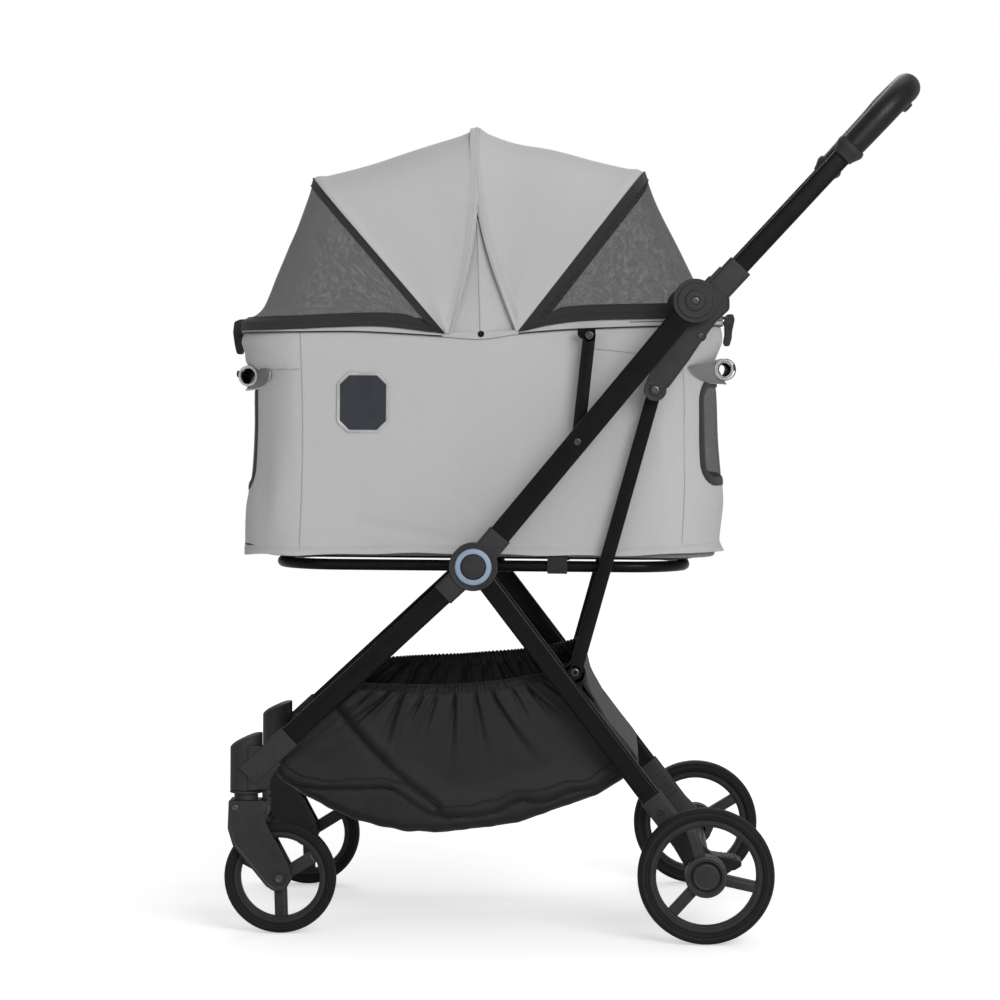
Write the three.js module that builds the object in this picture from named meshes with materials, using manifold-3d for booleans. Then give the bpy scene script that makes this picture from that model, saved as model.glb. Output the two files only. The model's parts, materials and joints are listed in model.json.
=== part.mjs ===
import * as THREE from 'three';
import { mergeVertices } from 'three/addons/utils/BufferGeometryUtils.js';
import Module from 'manifold-3d';

// Four-wheeled folding pet stroller, millimetres, +Z up, +X to the rear (handle end).
// A side view is the X-Z plane. Paired pieces are built at a distance y from the middle plane,
// once for the left side (side = -1) and once for the right (side = +1).

const wasm = await Module();
wasm.setup();

// ---------- driving dimensions ----------
const gap = 0.4;                 // clearance between pieces that touch or turn
const outerPlaneY = 215;         // middle of the side tubes and front legs, from the middle plane

// wheels
const wheelbase = 514;
const rearWheelRadius = 82;
const rearTyreThickness = 14;
const rearTyreWidth = 24;
const rearRimThickness = 8.5;
const rearHubRadius = 25;
const rearSpokeWidth = 13;
const rearWheelY = outerPlaneY + 33.5;
const frontWheelRadius = 68;
const frontTyreThickness = 12;
const frontTyreWidth = 22;
const frontRimThickness = 8;
const frontHubRadius = 13;
const frontSpokeWidth = 15;
const tyreShoulder = 4;          // sidewall rounding, radially
const tyreCrown = 7;             // tread rounding, across
const tyreSeatInset = 3;
const spokeInset = 4;            // spokes thinner than the tyre, each side
const hubProud = 1;
const hubCapDepth = 4;
const hubCapProud = 2.5;
const frontWheelY = outerPlaneY - 14;
const hubCapRadius = 16.5;
const axleRadius = 5.5;
const wheelSides = 24;

// side frames: hub pivot, tube directions and lengths
const hubHeight = 447.5;
const hubForward = 25;           // hub pivot ahead of the middle of the wheelbase
const sideTubeAngle = 50.65;
const sideTubeLength = 415;      // hub pivot to handle hinge
const handleAngle = 45.6;
const handleLength = 364;        // handle hinge to crossbar axis
const tubeDepth = 16;
const sideTubeWidth = 27;
const frontLegWidth = 25;
const rearLegWidth = 24.8;
const tubeWall = 1.6;
const rearLegY = outerPlaneY - 30;
const bracketDepth = 17;         // handle bracket thickness across the hinge
const handleTubeWidth = 18.5;
const handleTubeDepth = 13;
const sleeveWall = 1.8;
const hubRadius = 29;
const hubFaceProud = 2;
const sleeveLength = 50;         // hub and hinge sleeves, from the pivot
const tubeStart = 30;            // tube ends, from the pivot
const pivotRadius = 8;
const pivotHeadRadius = 13;
const pivotHeadThickness = 1.6;
const hubSpacerRadius = 19;
const hubRingRadius = 22.3;
const hubRingWidth = 6.8;
const hingeRadius = 26.4;
const hingeStep = 5;             // each raised ring of the hinge face is this much smaller
const hingeRingProud = 2;
const hingeCapRadius = 12;
const hingePinRadius = 7;
const hingePinHeadRadius = 11;

// casters
const casterTrail = 42;
const housingRadius = 19.5;
const housingBottom = 174;
const housingTop = 234;
const housingTopSlope = 25;      // degrees
const legFootHeight = 190;       // front leg axis meets the caster axis here
const stemRadius = 6;
const crownBottom = 144;
const crownTop = 162;
const crownReach = 28;           // crown edge behind the caster axis
const crownFront = 19.5;
const bladeThickness = 6;
const bladeClearance = 2;        // tyre side to fork blade
const axleHeadProud = 1.5;
const stemHeight = 30;
const thrustWidth = 5;           // housing wall around the crown's thrust boss
const lockWidth = 12;
const lockThickness = 7;
const lockHeight = 19.6;
const guideWall = 4;
const guideHeight = 20;
const casterSleeveLength = 74;
const casterSleeveSolid = 30;    // sleeve length below the leg's cut end
const crossPointAlong = 36;      // caster axis to cross tube, along the leg
const crossBossLength = 12;
const crossBossWall = 3;
const lockTravel = 6;
const crossTubeRadius = 8;

// brake pedal
const pedalY = -139;
const pedalRingWidth = 54;
const pedalRingRadius = 15;
const pedalArmWidth = 42;
const pedalReach = 46;
const pedalThickness = 12;

// fold linkage, offsets from the hinges
const leverReach = { x: -46.5, z: -107 };    // handle hinge to drop link pin
const rimPinOffset = { x: 7, z: -41 };       // handle hinge to rim pin
const lugOffset = { x: 123, z: -129.5 };     // hub pivot to drop link foot
const linkWidth = 17.4;
const linkThickness = 9.6;
const linkY = outerPlaneY - 43.5;
const lugRadius = 13;
const lugThickness = 4.5;
const lugPinRadius = 6;
const legEyeRadius = 18;
const legStart = 12;             // rear leg tube starts this far below the pivot
const legFootGap = 34;           // rear leg tube ends this far above the axle
const axleSleeveLength = 108;
const axleBarrelRadius = 20;
const rearAxleRadius = 9;
const axleSeat = 1.6;            // the cross axle ends this far past the middle of the leg
const leverBossRadius = 13.8;
const leverOutline = [
  { x: -59, z: -100 }, { x: -24, z: -20 }, { x: 20, z: 16 }, { x: 40, z: 0 }, { x: 39, z: -11 },
  { x: 26.4, z: -24 }, { x: 4.8, z: -54 }, { x: -7, z: -72 }, { x: -32, z: -106 },
];
const leverThickness = 13;
const rivetProud = 1.6;
const leverRivetRadius = 5.5;
const rimRivetRadius = 4.5;
const linkPinRadius = 8;
const bracketNeck = 64;          // bracket's tube socket, from the hinge
const bracketNeckWall = 4;
const handleTubeStart = 35;
const postWidth = 15.6;
const postThickness = 4;
const postY = outerPlaneY - 32;
const postLean = 11.5;           // post head ahead of its foot, toward the rear
const postPinRadius = 7;
const postHeadDrop = 14;         // post head below the rim
const postFootBelow = 219.5;     // distance from the handle hinge down the side tube

// cabin
const cabinLength = 602;
const cabinWidth = 2 * (outerPlaneY - 53);
const cabinCorner = 85;
const cabinDepth = 277;          // rim axis down to the bottom hem
const rimPinBehind = 267;        // rim pin behind the middle of the cabin
const wallThickness = 3;
const rimTubeRadius = 7;
const rimInset = 14;             // rim tube centre line inside the cabin wall's inner face
const rimPinBossRadius = 8;
const rimEyeRadius = 5;          // stub that carries the post head
const bowPinRadius = 4;
const clipWidth = 30;
const clipReach = 24;            // clip's top tongue over the rim
const clipProud = 12.5;          // clip's outer face past the cabin wall
const clipThickness = 9;
const clipDrop = 24;
const wallTopDrop = 19;          // cabin wall ends this far below the rim axis
const loopTubeRadius = 8;
const loopLength = 506;
const loopWidth = cabinWidth - 24;
const loopCorner = 75;
const boardThickness = 4.6;
const matThickness = 22;
const matMargin = 6;

// canopy
const bowPivotBehind = 2;        // bow pivot behind the middle of the cabin
const bowEyeRadius = 9;
const bowStripWidth = 12;
const bowStripThickness = 3;
const bowLayerPitch = 4;
const bowCorner = 80;
const rearBow = { name: 'rear_bow', angle: 45, radius: 284, layer: 0 };
const midBow = { name: 'mid_bow', angle: 92, radius: 262, layer: 1 };
const frontBow = { name: 'front_bow', angle: 137, radius: 290, layer: 2 };
const canopyThickness = 1.5;
const canopyFoot = 13;           // canopy skirt edge above the rim axis
const canopySlack = 2.4;         // canopy held clear of the bow strips
const canopyCornerEase = 16;     // canopy corners are tighter than the bow's
const canopyStart = 24;          // canopy panels start this far from the bow pivot
const panelCount = 22;
const seam = 0.6;                // degrees left free between panels

// storage basket
const basketWidth = cabinWidth - 4;
const basketWall = 3;
const basketDepth = 334;         // hub pivot down to the basket's lowest line
const basketLowForward = 30;
const basketTopAlong = 180;      // hub pivot to the basket's corners, along the legs
const basketFootAlong = 327;
const basketFrontSplay = 8.3;    // degrees between the leg and the basket's foot
const basketRearTopAlong = 150;
const basketRearSplay = 2.4;
const basketRearFootAlong = 325;

// grip
const gripRadius = 16;
const gripCorner = 60;
const collarLength = 20;
const collarRadius = 17.5;
const collarFoot = 13;           // collar radius at its lower end
const collarAlong = 246;
const buttonTravel = 4;
const buttonWidth = 16;
const buttonLength = 34;
const buttonPocket = 12;         // pocket depth in the grip
const buttonRise = 4.5;

// ---------- materials ----------
const finish = (color, roughness, metalness) =>
  new THREE.MeshStandardMaterial({ color, roughness, metalness });
const blackTube = finish(0x141416, 0.35, 0.6);
const blackPlastic = finish(0x1d1d1f, 0.6, 0);
const greyPlastic = finish(0x2b2b2e, 0.55, 0);
const blueGrey = finish(0x8193a6, 0.5, 0);
const tyreRubber = finish(0x1b1b1c, 0.8, 0);
const gripLeather = finish(0x1a1a1b, 0.55, 0);
const greyFabric = finish(0xbdbdbc, 0.9, 0);
const blackMesh = finish(0x2d3030, 0.9, 0);
const blackFabric = finish(0x202022, 0.85, 0);
const matFabric = finish(0x8a8a8c, 0.9, 0);

// ---------- helpers ----------
const group = new THREE.Group();

function add(name, shape, material) {
  const geometry = shape instanceof wasm.Manifold ? toGeometry(shape) : shape;
  const mesh = new THREE.Mesh(geometry, material);
  mesh.name = name;
  group.add(mesh);
}

function toSolid(geometry) {
  const bare = new THREE.BufferGeometry();
  bare.setAttribute('position', geometry.getAttribute('position'));
  if (geometry.index) bare.setIndex(geometry.index);
  const merged = mergeVertices(bare, 1e-3);
  return new wasm.Manifold(new wasm.Mesh({
    numProp: 3,
    vertProperties: Float32Array.from(merged.getAttribute('position').array),
    triVerts: Uint32Array.from(merged.index.array),
  }));
}

function toGeometry(solid) {
  const { vertProperties, triVerts } = solid.getMesh();
  const geometry = new THREE.BufferGeometry();
  geometry.setAttribute('position', new THREE.BufferAttribute(vertProperties, 3));
  geometry.setIndex(new THREE.BufferAttribute(triVerts, 1));
  return geometry;
}

const point = (x, z) => ({ x, z });
const shifted = (p, offset) => point(p.x + offset.x, p.z + offset.z);
const radians = (degrees) => THREE.MathUtils.degToRad(degrees);
const along = (p, degrees, distance) =>
  point(p.x + distance * Math.cos(radians(degrees)), p.z + distance * Math.sin(radians(degrees)));
const angleOf = (a, b) => THREE.MathUtils.radToDeg(Math.atan2(b.z - a.z, b.x - a.x));
const distanceOf = (a, b) => Math.hypot(b.x - a.x, b.z - a.z);

// Round bar along Y from y0 to y1 (either order), centred on a point of the side view.
function rod(p, y0, y1, radius, sides = 16) {
  const geometry = new THREE.CylinderGeometry(radius, radius, Math.abs(y1 - y0), sides);
  return toSolid(geometry.translate(p.x, (y0 + y1) / 2, p.z));
}

function upright(x, y, z0, z1, radius, sides = 16) {
  const geometry = new THREE.CylinderGeometry(radius, radius, z1 - z0, sides);
  return toSolid(geometry.rotateX(Math.PI / 2).translate(x, y, (z0 + z1) / 2));
}

function block(x0, x1, y0, y1, z0, z1) {
  const geometry = new THREE.BoxGeometry(x1 - x0, Math.abs(y1 - y0), z1 - z0);
  return toSolid(geometry.translate((x0 + x1) / 2, (y0 + y1) / 2, (z0 + z1) / 2));
}

// Flat plate: an outline of the side view, as thick as y0 to y1.
function plate(shape, y0, y1, curveSegments = 8) {
  const depth = Math.abs(y1 - y0);
  const geometry = new THREE.ExtrudeGeometry(shape, { depth, bevelEnabled: false, curveSegments });
  return toSolid(geometry.rotateX(Math.PI / 2).translate(0, Math.max(y0, y1), 0));
}

const outline = (points) => new THREE.Shape(points.map((p) => new THREE.Vector2(p.x, p.z)));

function roundedRectangle(width, height, corner) {
  const [w, h] = [width / 2, height / 2];
  const shape = new THREE.Shape();
  shape.moveTo(w - corner, -h);
  shape.absarc(w - corner, -h + corner, corner, -Math.PI / 2, 0);
  shape.absarc(w - corner, h - corner, corner, 0, Math.PI / 2);
  shape.absarc(-w + corner, h - corner, corner, Math.PI / 2, Math.PI);
  shape.absarc(-w + corner, -h + corner, corner, Math.PI, 1.5 * Math.PI);
  return shape;
}

// Straight bar of a rounded section, from start to end along the side-view line a to b.
function strut(a, degrees, start, end, y, width, depth, wall = 0) {
  const corner = Math.min(width, depth) * 0.34;
  const section = roundedRectangle(width, depth, corner);
  if (wall > 0) {
    section.holes.push(roundedRectangle(width - 2 * wall, depth - 2 * wall, corner - wall));
  }
  const geometry = new THREE.ExtrudeGeometry(section, {
    depth: end - start, bevelEnabled: false, curveSegments: 1,
  });
  const direction = new THREE.Vector3(Math.cos(radians(degrees)), 0, Math.sin(radians(degrees)));
  const across = new THREE.Vector3(direction.z, 0, -direction.x);
  const basis = new THREE.Matrix4().makeBasis(across, new THREE.Vector3(0, 1, 0), direction);
  geometry.translate(0, 0, start).applyMatrix4(basis);
  return toSolid(geometry.translate(a.x, y, a.z));
}

const strutSocket = (a, degrees, start, end, y, width, depth) =>
  strut(a, degrees, start, end, y, width + 2 * gap, depth + 2 * gap);

// Ring turned about Y from an outline of (radius, y) points.
function turned(p, y, profile, segments) {
  const points = profile.map(([radius, offset]) => new THREE.Vector2(radius, offset));
  points.push(points[0].clone());
  return toSolid(new THREE.LatheGeometry(points, segments).translate(p.x, y, p.z));
}

// Slab: a plan-view rounded rectangle with its middle at x.
function slab(x, length, width, corner, z0, z1, hole = null) {
  const shape = roundedRectangle(length, width, corner);
  if (hole) shape.holes.push(hole);
  const geometry = new THREE.ExtrudeGeometry(shape, {
    depth: z1 - z0, bevelEnabled: false, curveSegments: 4,
  });
  return toSolid(geometry.translate(x, 0, z0));
}

// Horizontal closed tube on a rounded-rectangle centre line.
class LoopCurve extends THREE.Curve {
  constructor(length, width, corner, x, z) {
    super();
    this.plan = roundedRectangle(length, width, corner).closePath();
    this.middle = new THREE.Vector3(x, 0, z);
  }

  getPoint(t) {
    const p = this.plan.getPoint(t % 1);
    return new THREE.Vector3(p.x, p.y, 0).add(this.middle);
  }
}

function loopTube(length, width, corner, x, z, radius) {
  const curve = new LoopCurve(length, width, corner, x, z);
  return toSolid(new THREE.TubeGeometry(curve, 44, radius, 6, true));
}

// Upside-down U in the plane of Y and a side-view direction.
function archPath(base, degrees, start, length, halfWidth, corner) {
  const at = (distance, y) => {
    const p = along(base, degrees, distance);
    return new THREE.Vector3(p.x, y, p.z);
  };
  const shoulder = length - corner;
  const inner = halfWidth - corner;
  const path = new THREE.CurvePath();
  path.add(new THREE.LineCurve3(at(start, -halfWidth), at(shoulder, -halfWidth)));
  path.add(new THREE.QuadraticBezierCurve3(
    at(shoulder, -halfWidth), at(length, -halfWidth), at(length, -inner)));
  path.add(new THREE.LineCurve3(at(length, -inner), at(length, inner)));
  path.add(new THREE.QuadraticBezierCurve3(
    at(length, inner), at(length, halfWidth), at(shoulder, halfWidth)));
  path.add(new THREE.LineCurve3(at(shoulder, halfWidth), at(start, halfWidth)));
  return path;
}

// Thin closed shell between rows of outer points and the matching rows of inner points.
function shell(outer, inner) {
  const rows = outer.length;
  const columns = outer[0].length;
  const positions = [...outer.flat(), ...inner.flat()].flatMap((p) => [p.x, p.y, p.z]);
  const at = (layer, i, j) => layer * rows * columns + i * columns + j;
  const index = [];
  const quad = (a, b, c, d) => index.push(a, b, c, a, c, d);
  for (let i = 0; i < rows - 1; i += 1) {
    for (let j = 0; j < columns - 1; j += 1) {
      quad(at(0, i, j), at(0, i, j + 1), at(0, i + 1, j + 1), at(0, i + 1, j));
      quad(at(1, i, j), at(1, i + 1, j), at(1, i + 1, j + 1), at(1, i, j + 1));
    }
    quad(at(0, i, 0), at(0, i + 1, 0), at(1, i + 1, 0), at(1, i, 0));
    quad(at(0, i + 1, columns - 1), at(0, i, columns - 1), at(1, i, columns - 1),
      at(1, i + 1, columns - 1));
  }
  for (let j = 0; j < columns - 1; j += 1) {
    quad(at(0, 0, j + 1), at(0, 0, j), at(1, 0, j), at(1, 0, j + 1));
    quad(at(0, rows - 1, j), at(0, rows - 1, j + 1), at(1, rows - 1, j + 1), at(1, rows - 1, j));
  }
  const geometry = new THREE.BufferGeometry();
  geometry.setAttribute('position', new THREE.Float32BufferAttribute(positions, 3));
  geometry.setIndex(index);
  const solid = toSolid(geometry);
  if (solid.volume() > 0) return solid;
  for (let k = 0; k < index.length; k += 3) {
    index.splice(k, 3, index[k], index[k + 2], index[k + 1]);
  }
  geometry.setIndex(index);
  return toSolid(geometry);
}

const sides = [
  { side: -1, word: 'left' },
  { side: 1, word: 'right' },
];

// ---------- key points of the side view ----------
const rearAxle = point(wheelbase / 2, rearWheelRadius);
const frontAxle = point(-wheelbase / 2, frontWheelRadius);
const caster = frontAxle.x - casterTrail;
const hub = point(-hubForward, hubHeight);
const hinge = along(hub, sideTubeAngle, sideTubeLength);
const leverPin = shifted(hinge, leverReach);
const rimPin = shifted(hinge, rimPinOffset);
const linkFoot = shifted(hub, lugOffset);
const postFoot = along(hinge, sideTubeAngle + 180, postFootBelow);
const legFoot = point(caster, legFootHeight);
const frontLegAngle = angleOf(hub, legFoot);
const frontLegLength = distanceOf(hub, legFoot);
const crossPoint = along(legFoot, frontLegAngle + 180, crossPointAlong);
const rearLegAngle = angleOf(hub, rearAxle);
const rearLegLength = distanceOf(hub, rearAxle);
const rimHeight = rimPin.z;
const cabinMiddle = rimPin.x - rimPinBehind;
const cabinFloor = rimHeight - cabinDepth;
const bowPivot = point(cabinMiddle + bowPivotBehind, rimHeight);
const postHead = point(postFoot.x + postLean, rimHeight - postHeadDrop);

const outerFaceOut = outerPlaneY + tubeDepth / 2 + sleeveWall;
const outerFaceIn = outerPlaneY - tubeDepth / 2 - sleeveWall;
const bracketOut = outerFaceIn - gap;
const bracketIn = bracketOut - bracketDepth;
const handleY = (bracketIn + bracketOut) / 2;
const rearLegIn = rearLegY - tubeDepth / 2;
const rearLegOut = rearLegY + tubeDepth / 2;
const linkIn = linkY - linkThickness / 2;
const linkOut = linkY + linkThickness / 2;
const rimHalfWidth = cabinWidth / 2 - wallThickness - rimInset;

// Distance of each bow's strips from the middle plane; each bow has its own layer.
const bowLayerY = (layer) =>
  rimHalfWidth + rimTubeRadius + 2 + bowStripThickness / 2 + layer * bowLayerPitch;

// ---------- wheels ----------
function tyre(axle, y, radius, thickness, width) {
  const half = width / 2;
  const inner = radius - thickness;
  const profile = [
    [inner, -half + tyreSeatInset], [inner + tyreShoulder, -half],
    [radius - tyreShoulder, -half], [radius, -half + tyreCrown],
    [radius, half - tyreCrown], [radius - tyreShoulder, half],
    [inner + tyreShoulder, half], [inner, half - tyreSeatInset],
  ];
  return turned(axle, y, profile, wheelSides);
}

function spokedWheel(axle, y, size) {
  const rimOut = size.radius - size.tyre - gap;
  const rimIn = rimOut - size.rim;
  const half = size.width / 2;
  const rimHalf = half - tyreSeatInset;
  const spokeHalf = half - spokeInset;
  const hubHalf = half + hubProud;
  const profile = [[rimIn, -rimHalf], [rimOut, -rimHalf], [rimOut, rimHalf], [rimIn, rimHalf]];
  let wheel = turned(axle, y, profile, wheelSides);
  wheel = wheel.add(rod(axle, y - hubHalf, y + hubHalf, size.hub));
  for (const degrees of size.spokes) {
    const corner = (turn, distance) =>
      along(along(axle, degrees, distance), degrees + turn, size.spoke / 2);
    wheel = wheel.add(plate(outline([
      corner(-90, 1), corner(-90, rimIn + 2), corner(90, rimIn + 2), corner(90, 1),
    ]), y - spokeHalf, y + spokeHalf));
  }
  return wheel.subtract(rod(axle, y - size.width, y + size.width, axleRadius + gap));
}

for (const { side, word } of sides) {
  const rearY = side * rearWheelY;
  add(`${word}_rear_tyre`,
    tyre(rearAxle, rearY, rearWheelRadius, rearTyreThickness, rearTyreWidth), tyreRubber);
  const spun = side < 0 ? [108, -12, -132] : [32, 152, -88];
  const faceY = rearWheelY + rearTyreWidth / 2 + hubProud;
  const recess = rod(rearAxle, side * (faceY - hubCapDepth), side * (faceY + 1), hubCapRadius + gap);
  add(`${word}_rear_wheel`, spokedWheel(rearAxle, rearY, {
    radius: rearWheelRadius, tyre: rearTyreThickness, rim: rearRimThickness,
    width: rearTyreWidth, hub: rearHubRadius, spoke: rearSpokeWidth, spokes: spun,
  }).subtract(recess), greyPlastic);
  add(`${word}_hub_cap`,
    rod(rearAxle, side * (faceY - hubCapDepth + gap), side * (faceY + hubCapProud), hubCapRadius),
    blackPlastic);

  const frontY = side * frontWheelY;
  add(`${word}_front_tyre`,
    tyre(frontAxle, frontY, frontWheelRadius, frontTyreThickness, frontTyreWidth), tyreRubber);
  add(`${word}_front_wheel`, spokedWheel(frontAxle, frontY, {
    radius: frontWheelRadius, tyre: frontTyreThickness, rim: frontRimThickness,
    width: frontTyreWidth, hub: frontHubRadius, spoke: frontSpokeWidth, spokes: [-88, 32, 152],
  }), greyPlastic);
}

// ---------- casters ----------
const bladeGap = frontTyreWidth / 2 + bladeClearance;
const bladeOuter = bladeGap + bladeThickness;

function forkOutline() {
  const edge = caster + crownReach;
  return outline([
    point(caster - crownFront, crownTop), point(caster - crownFront - 1, crownBottom - 18),
    point(caster - 16, crownBottom - 36), point(frontAxle.x - 35, frontAxle.z + 14),
    point(frontAxle.x - 16, frontAxle.z - 8), point(frontAxle.x - 8, frontAxle.z - 15),
    point(frontAxle.x + 8, frontAxle.z - 12), point(frontAxle.x + 14, frontAxle.z),
    point(frontAxle.x + 13, frontAxle.z + 12), point(edge - 5, crownBottom - 8),
    point(edge, crownBottom), point(edge, crownTop),
  ]);
}

for (const { side, word } of sides) {
  const y = side * frontWheelY;
  const blade = (sign) => plate(forkOutline(), y + sign * bladeGap, y + sign * bladeOuter);
  const head = (sign) =>
    rod(frontAxle, y + sign * bladeOuter, y + sign * (bladeOuter + axleHeadProud), axleRadius + 1.5);
  const edge = caster + crownReach;
  const lockHalf = lockWidth / 2;
  const lockBack = edge - 1;
  const lockFront = lockBack - lockThickness;
  const lockSlot = block(lockFront - 1, edge + 1, y - lockHalf - 1, y + lockHalf + 1,
    crownTop - lockTravel - 1, crownTop + 1);
  const fork = block(caster - crownFront, edge, y - bladeOuter, y + bladeOuter, crownBottom, crownTop)
    .add(blade(1)).add(blade(-1)).add(head(1)).add(head(-1))
    .add(rod(frontAxle, y - bladeOuter, y + bladeOuter, axleRadius))
    .add(upright(caster, y, crownTop - 1, housingBottom - gap, housingRadius - thrustWidth))
    .add(upright(caster, y, crownTop - 1, housingBottom + stemHeight, stemRadius))
    .subtract(lockSlot);
  add(`${word}_caster_fork`, fork, blackPlastic);

  const cutSize = 6 * housingRadius;
  const slope = new THREE.BoxGeometry(cutSize, cutSize, cutSize).translate(0, 0, cutSize / 2);
  slope.rotateY(-radians(housingTopSlope)).translate(caster, y, housingTop);
  const guideHalf = lockHalf + guideWall;
  const guideTop = housingBottom + guideHeight;
  const lockTop = crownTop + gap + lockHeight;
  const guide = block(lockFront - 6, edge, y - guideHalf, y + guideHalf, housingBottom, guideTop)
    .subtract(block(lockFront - gap, edge + 1, y - lockHalf - gap, y + lockHalf + gap,
      housingBottom - 1, guideTop - guideWall));
  const sleeve = strut(legFoot, frontLegAngle + 180, 0, casterSleeveLength, side * outerPlaneY,
    frontLegWidth + 2 * sleeveWall, tubeDepth + 2 * sleeveWall);
  const legSocket = strutSocket(legFoot, frontLegAngle + 180, casterSleeveSolid,
    casterSleeveLength + 2, side * outerPlaneY, frontLegWidth, tubeDepth);
  const boreRadius = stemRadius + gap;
  const crossBoss = rod(crossPoint, side * (outerFaceIn - crossBossLength),
    side * (outerFaceIn + 1), crossTubeRadius + crossBossWall);
  const crossSocket = rod(crossPoint, 0, side * (outerFaceIn - 1 + gap), crossTubeRadius + gap);
  const housing = upright(caster, y, housingBottom, housingTop + housingRadius, housingRadius, 20)
    .subtract(toSolid(slope)).add(sleeve).add(guide).add(crossBoss)
    .subtract(legSocket)
    .subtract(crossSocket)
    .subtract(upright(caster, y, housingBottom - 1, housingBottom + stemHeight + 1, boreRadius));
  add(`${word}_caster_housing`, housing, blackPlastic);

  add(`${word}_swivel_lock`, block(lockFront, lockBack, y - lockHalf, y + lockHalf,
    crownTop + gap, lockTop), greyPlastic);
}
const crossHalf = outerFaceIn - 1;
add('front_cross_tube', rod(crossPoint, -crossHalf, crossHalf, crossTubeRadius), blackTube);

// ---------- side frames ----------
for (const { side, word } of sides) {
  const outerY = side * outerPlaneY;
  add(`${word}_side_tube`, strut(hub, sideTubeAngle, tubeStart, sideTubeLength - tubeStart, outerY,
    sideTubeWidth, tubeDepth, tubeWall), blackTube);
  add(`${word}_front_leg`, strut(hub, frontLegAngle, tubeStart,
    frontLegLength - casterSleeveSolid - 2, outerY, frontLegWidth, tubeDepth, tubeWall), blackTube);

  const sleeveDepth = tubeDepth + 2 * sleeveWall;
  const socketStart = tubeStart - 1;
  const socketEnd = sleeveLength + 2;
  const upperSleeve = strut(hub, sideTubeAngle, 0, sleeveLength, outerY,
    sideTubeWidth + 2 * sleeveWall, sleeveDepth);
  const lowerSleeve = strut(hub, frontLegAngle, 0, sleeveLength, outerY,
    frontLegWidth + 2 * sleeveWall, sleeveDepth);
  const spacerEnd = rearLegOut + gap;
  const headStart = rearLegIn - gap;
  const outward = (y0, y1, radius) =>
    rod(hub, side * (outerFaceOut + y0), side * (outerFaceOut + y1), radius, 20);
  const ringGroove = outward(0, 3, hubRingRadius + gap)
    .subtract(outward(-1, 4, hubRingRadius - hubRingWidth - gap));
  const hubBody = rod(hub, side * outerFaceIn, side * (outerFaceOut + hubFaceProud), hubRadius, 20)
    .add(upperSleeve).add(lowerSleeve)
    .add(rod(hub, side * outerFaceIn, side * spacerEnd, hubSpacerRadius))
    .add(rod(hub, side * outerFaceIn, side * headStart, pivotRadius))
    .add(rod(hub, side * headStart, side * (headStart - pivotHeadThickness), pivotHeadRadius))
    .subtract(ringGroove)
    .subtract(strutSocket(hub, sideTubeAngle, socketStart, socketEnd, outerY,
      sideTubeWidth, tubeDepth))
    .subtract(strutSocket(hub, frontLegAngle, socketStart, socketEnd, outerY,
      frontLegWidth, tubeDepth));
  add(`${word}_hub`, hubBody, blackPlastic);
  const ring = outward(gap, 2.6, hubRingRadius).subtract(outward(0, 4, hubRingRadius - hubRingWidth));
  add(`${word}_hub_ring`, ring, blueGrey);

  const hingeSleeve = strut(hinge, sideTubeAngle + 180, 0, sleeveLength, outerY,
    sideTubeWidth + 2 * sleeveWall, sleeveDepth);
  const ringTop = outerFaceOut + hingeRingProud;
  const pinEnd = bracketIn - gap;
  const hingeBody = rod(hinge, side * outerFaceIn, side * outerFaceOut, hingeRadius, 20)
    .add(hingeSleeve)
    .add(rod(hinge, side * outerFaceOut, side * ringTop, hingeRadius - hingeStep, 20))
    .add(rod(hinge, side * ringTop, side * (ringTop + hingeRingProud), hingeCapRadius))
    .add(rod(hinge, side * outerFaceIn, side * pinEnd, hingePinRadius))
    .add(rod(hinge, side * pinEnd, side * (pinEnd - pivotHeadThickness), hingePinHeadRadius))
    .subtract(strutSocket(hinge, sideTubeAngle + 180, socketStart, socketEnd, outerY,
      sideTubeWidth, tubeDepth));
  add(`${word}_hinge_housing`, hingeBody, blackPlastic);
}

// ---------- rear legs ----------
for (const { side, word } of sides) {
  const y = side * rearLegY;
  const lugSpan = [side * rearLegIn, side * (rearLegIn + lugThickness)];
  const onLeg = (distance) => along(hub, rearLegAngle, distance);
  const lugPlate = plate(outline([
    onLeg(distanceOf(hub, linkFoot) - 14), onLeg(distanceOf(hub, linkFoot) + 26),
    along(linkFoot, rearLegAngle + 50, lugRadius), along(linkFoot, rearLegAngle + 180, lugRadius - 2),
  ]), ...lugSpan);
  const leg = strut(hub, rearLegAngle, legStart, rearLegLength - legFootGap, y,
    rearLegWidth, tubeDepth, tubeWall)
    .add(rod(hub, side * rearLegIn, side * rearLegOut, legEyeRadius, 20))
    .add(lugPlate)
    .add(rod(linkFoot, ...lugSpan, lugRadius))
    .add(rod(linkFoot, side * (rearLegIn + lugThickness - gap),
      side * (rearLegIn + lugThickness + 2), lugPinRadius))
    .subtract(rod(hub, side * (rearLegIn - 2), side * (rearLegOut + 2), pivotRadius + gap));
  add(`${word}_rear_leg`, leg, blackTube);

  const crossEnd = rearLegY + axleSeat + gap;
  const barrelEnd = rearWheelY - rearTyreWidth / 2 - 3;
  const stubEnd = rearWheelY + rearTyreWidth / 2 - hubCapDepth;
  const housing = strut(hub, rearLegAngle, rearLegLength - axleSleeveLength, rearLegLength, y,
    rearLegWidth + 2 * sleeveWall, tubeDepth + 2 * sleeveWall)
    .add(rod(rearAxle, side * (rearLegIn - 2), side * barrelEnd, axleBarrelRadius, 20))
    .add(rod(rearAxle, side * (rearLegIn - 2), side * stubEnd, axleRadius))
    .subtract(strutSocket(hub, rearLegAngle, rearLegLength - axleSleeveLength - 2,
      rearLegLength - legFootGap + 2, y, rearLegWidth, tubeDepth))
    .subtract(rod(rearAxle, 0, side * crossEnd, rearAxleRadius + gap));
  add(`${word}_axle_housing`, housing, blackPlastic);
}
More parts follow.
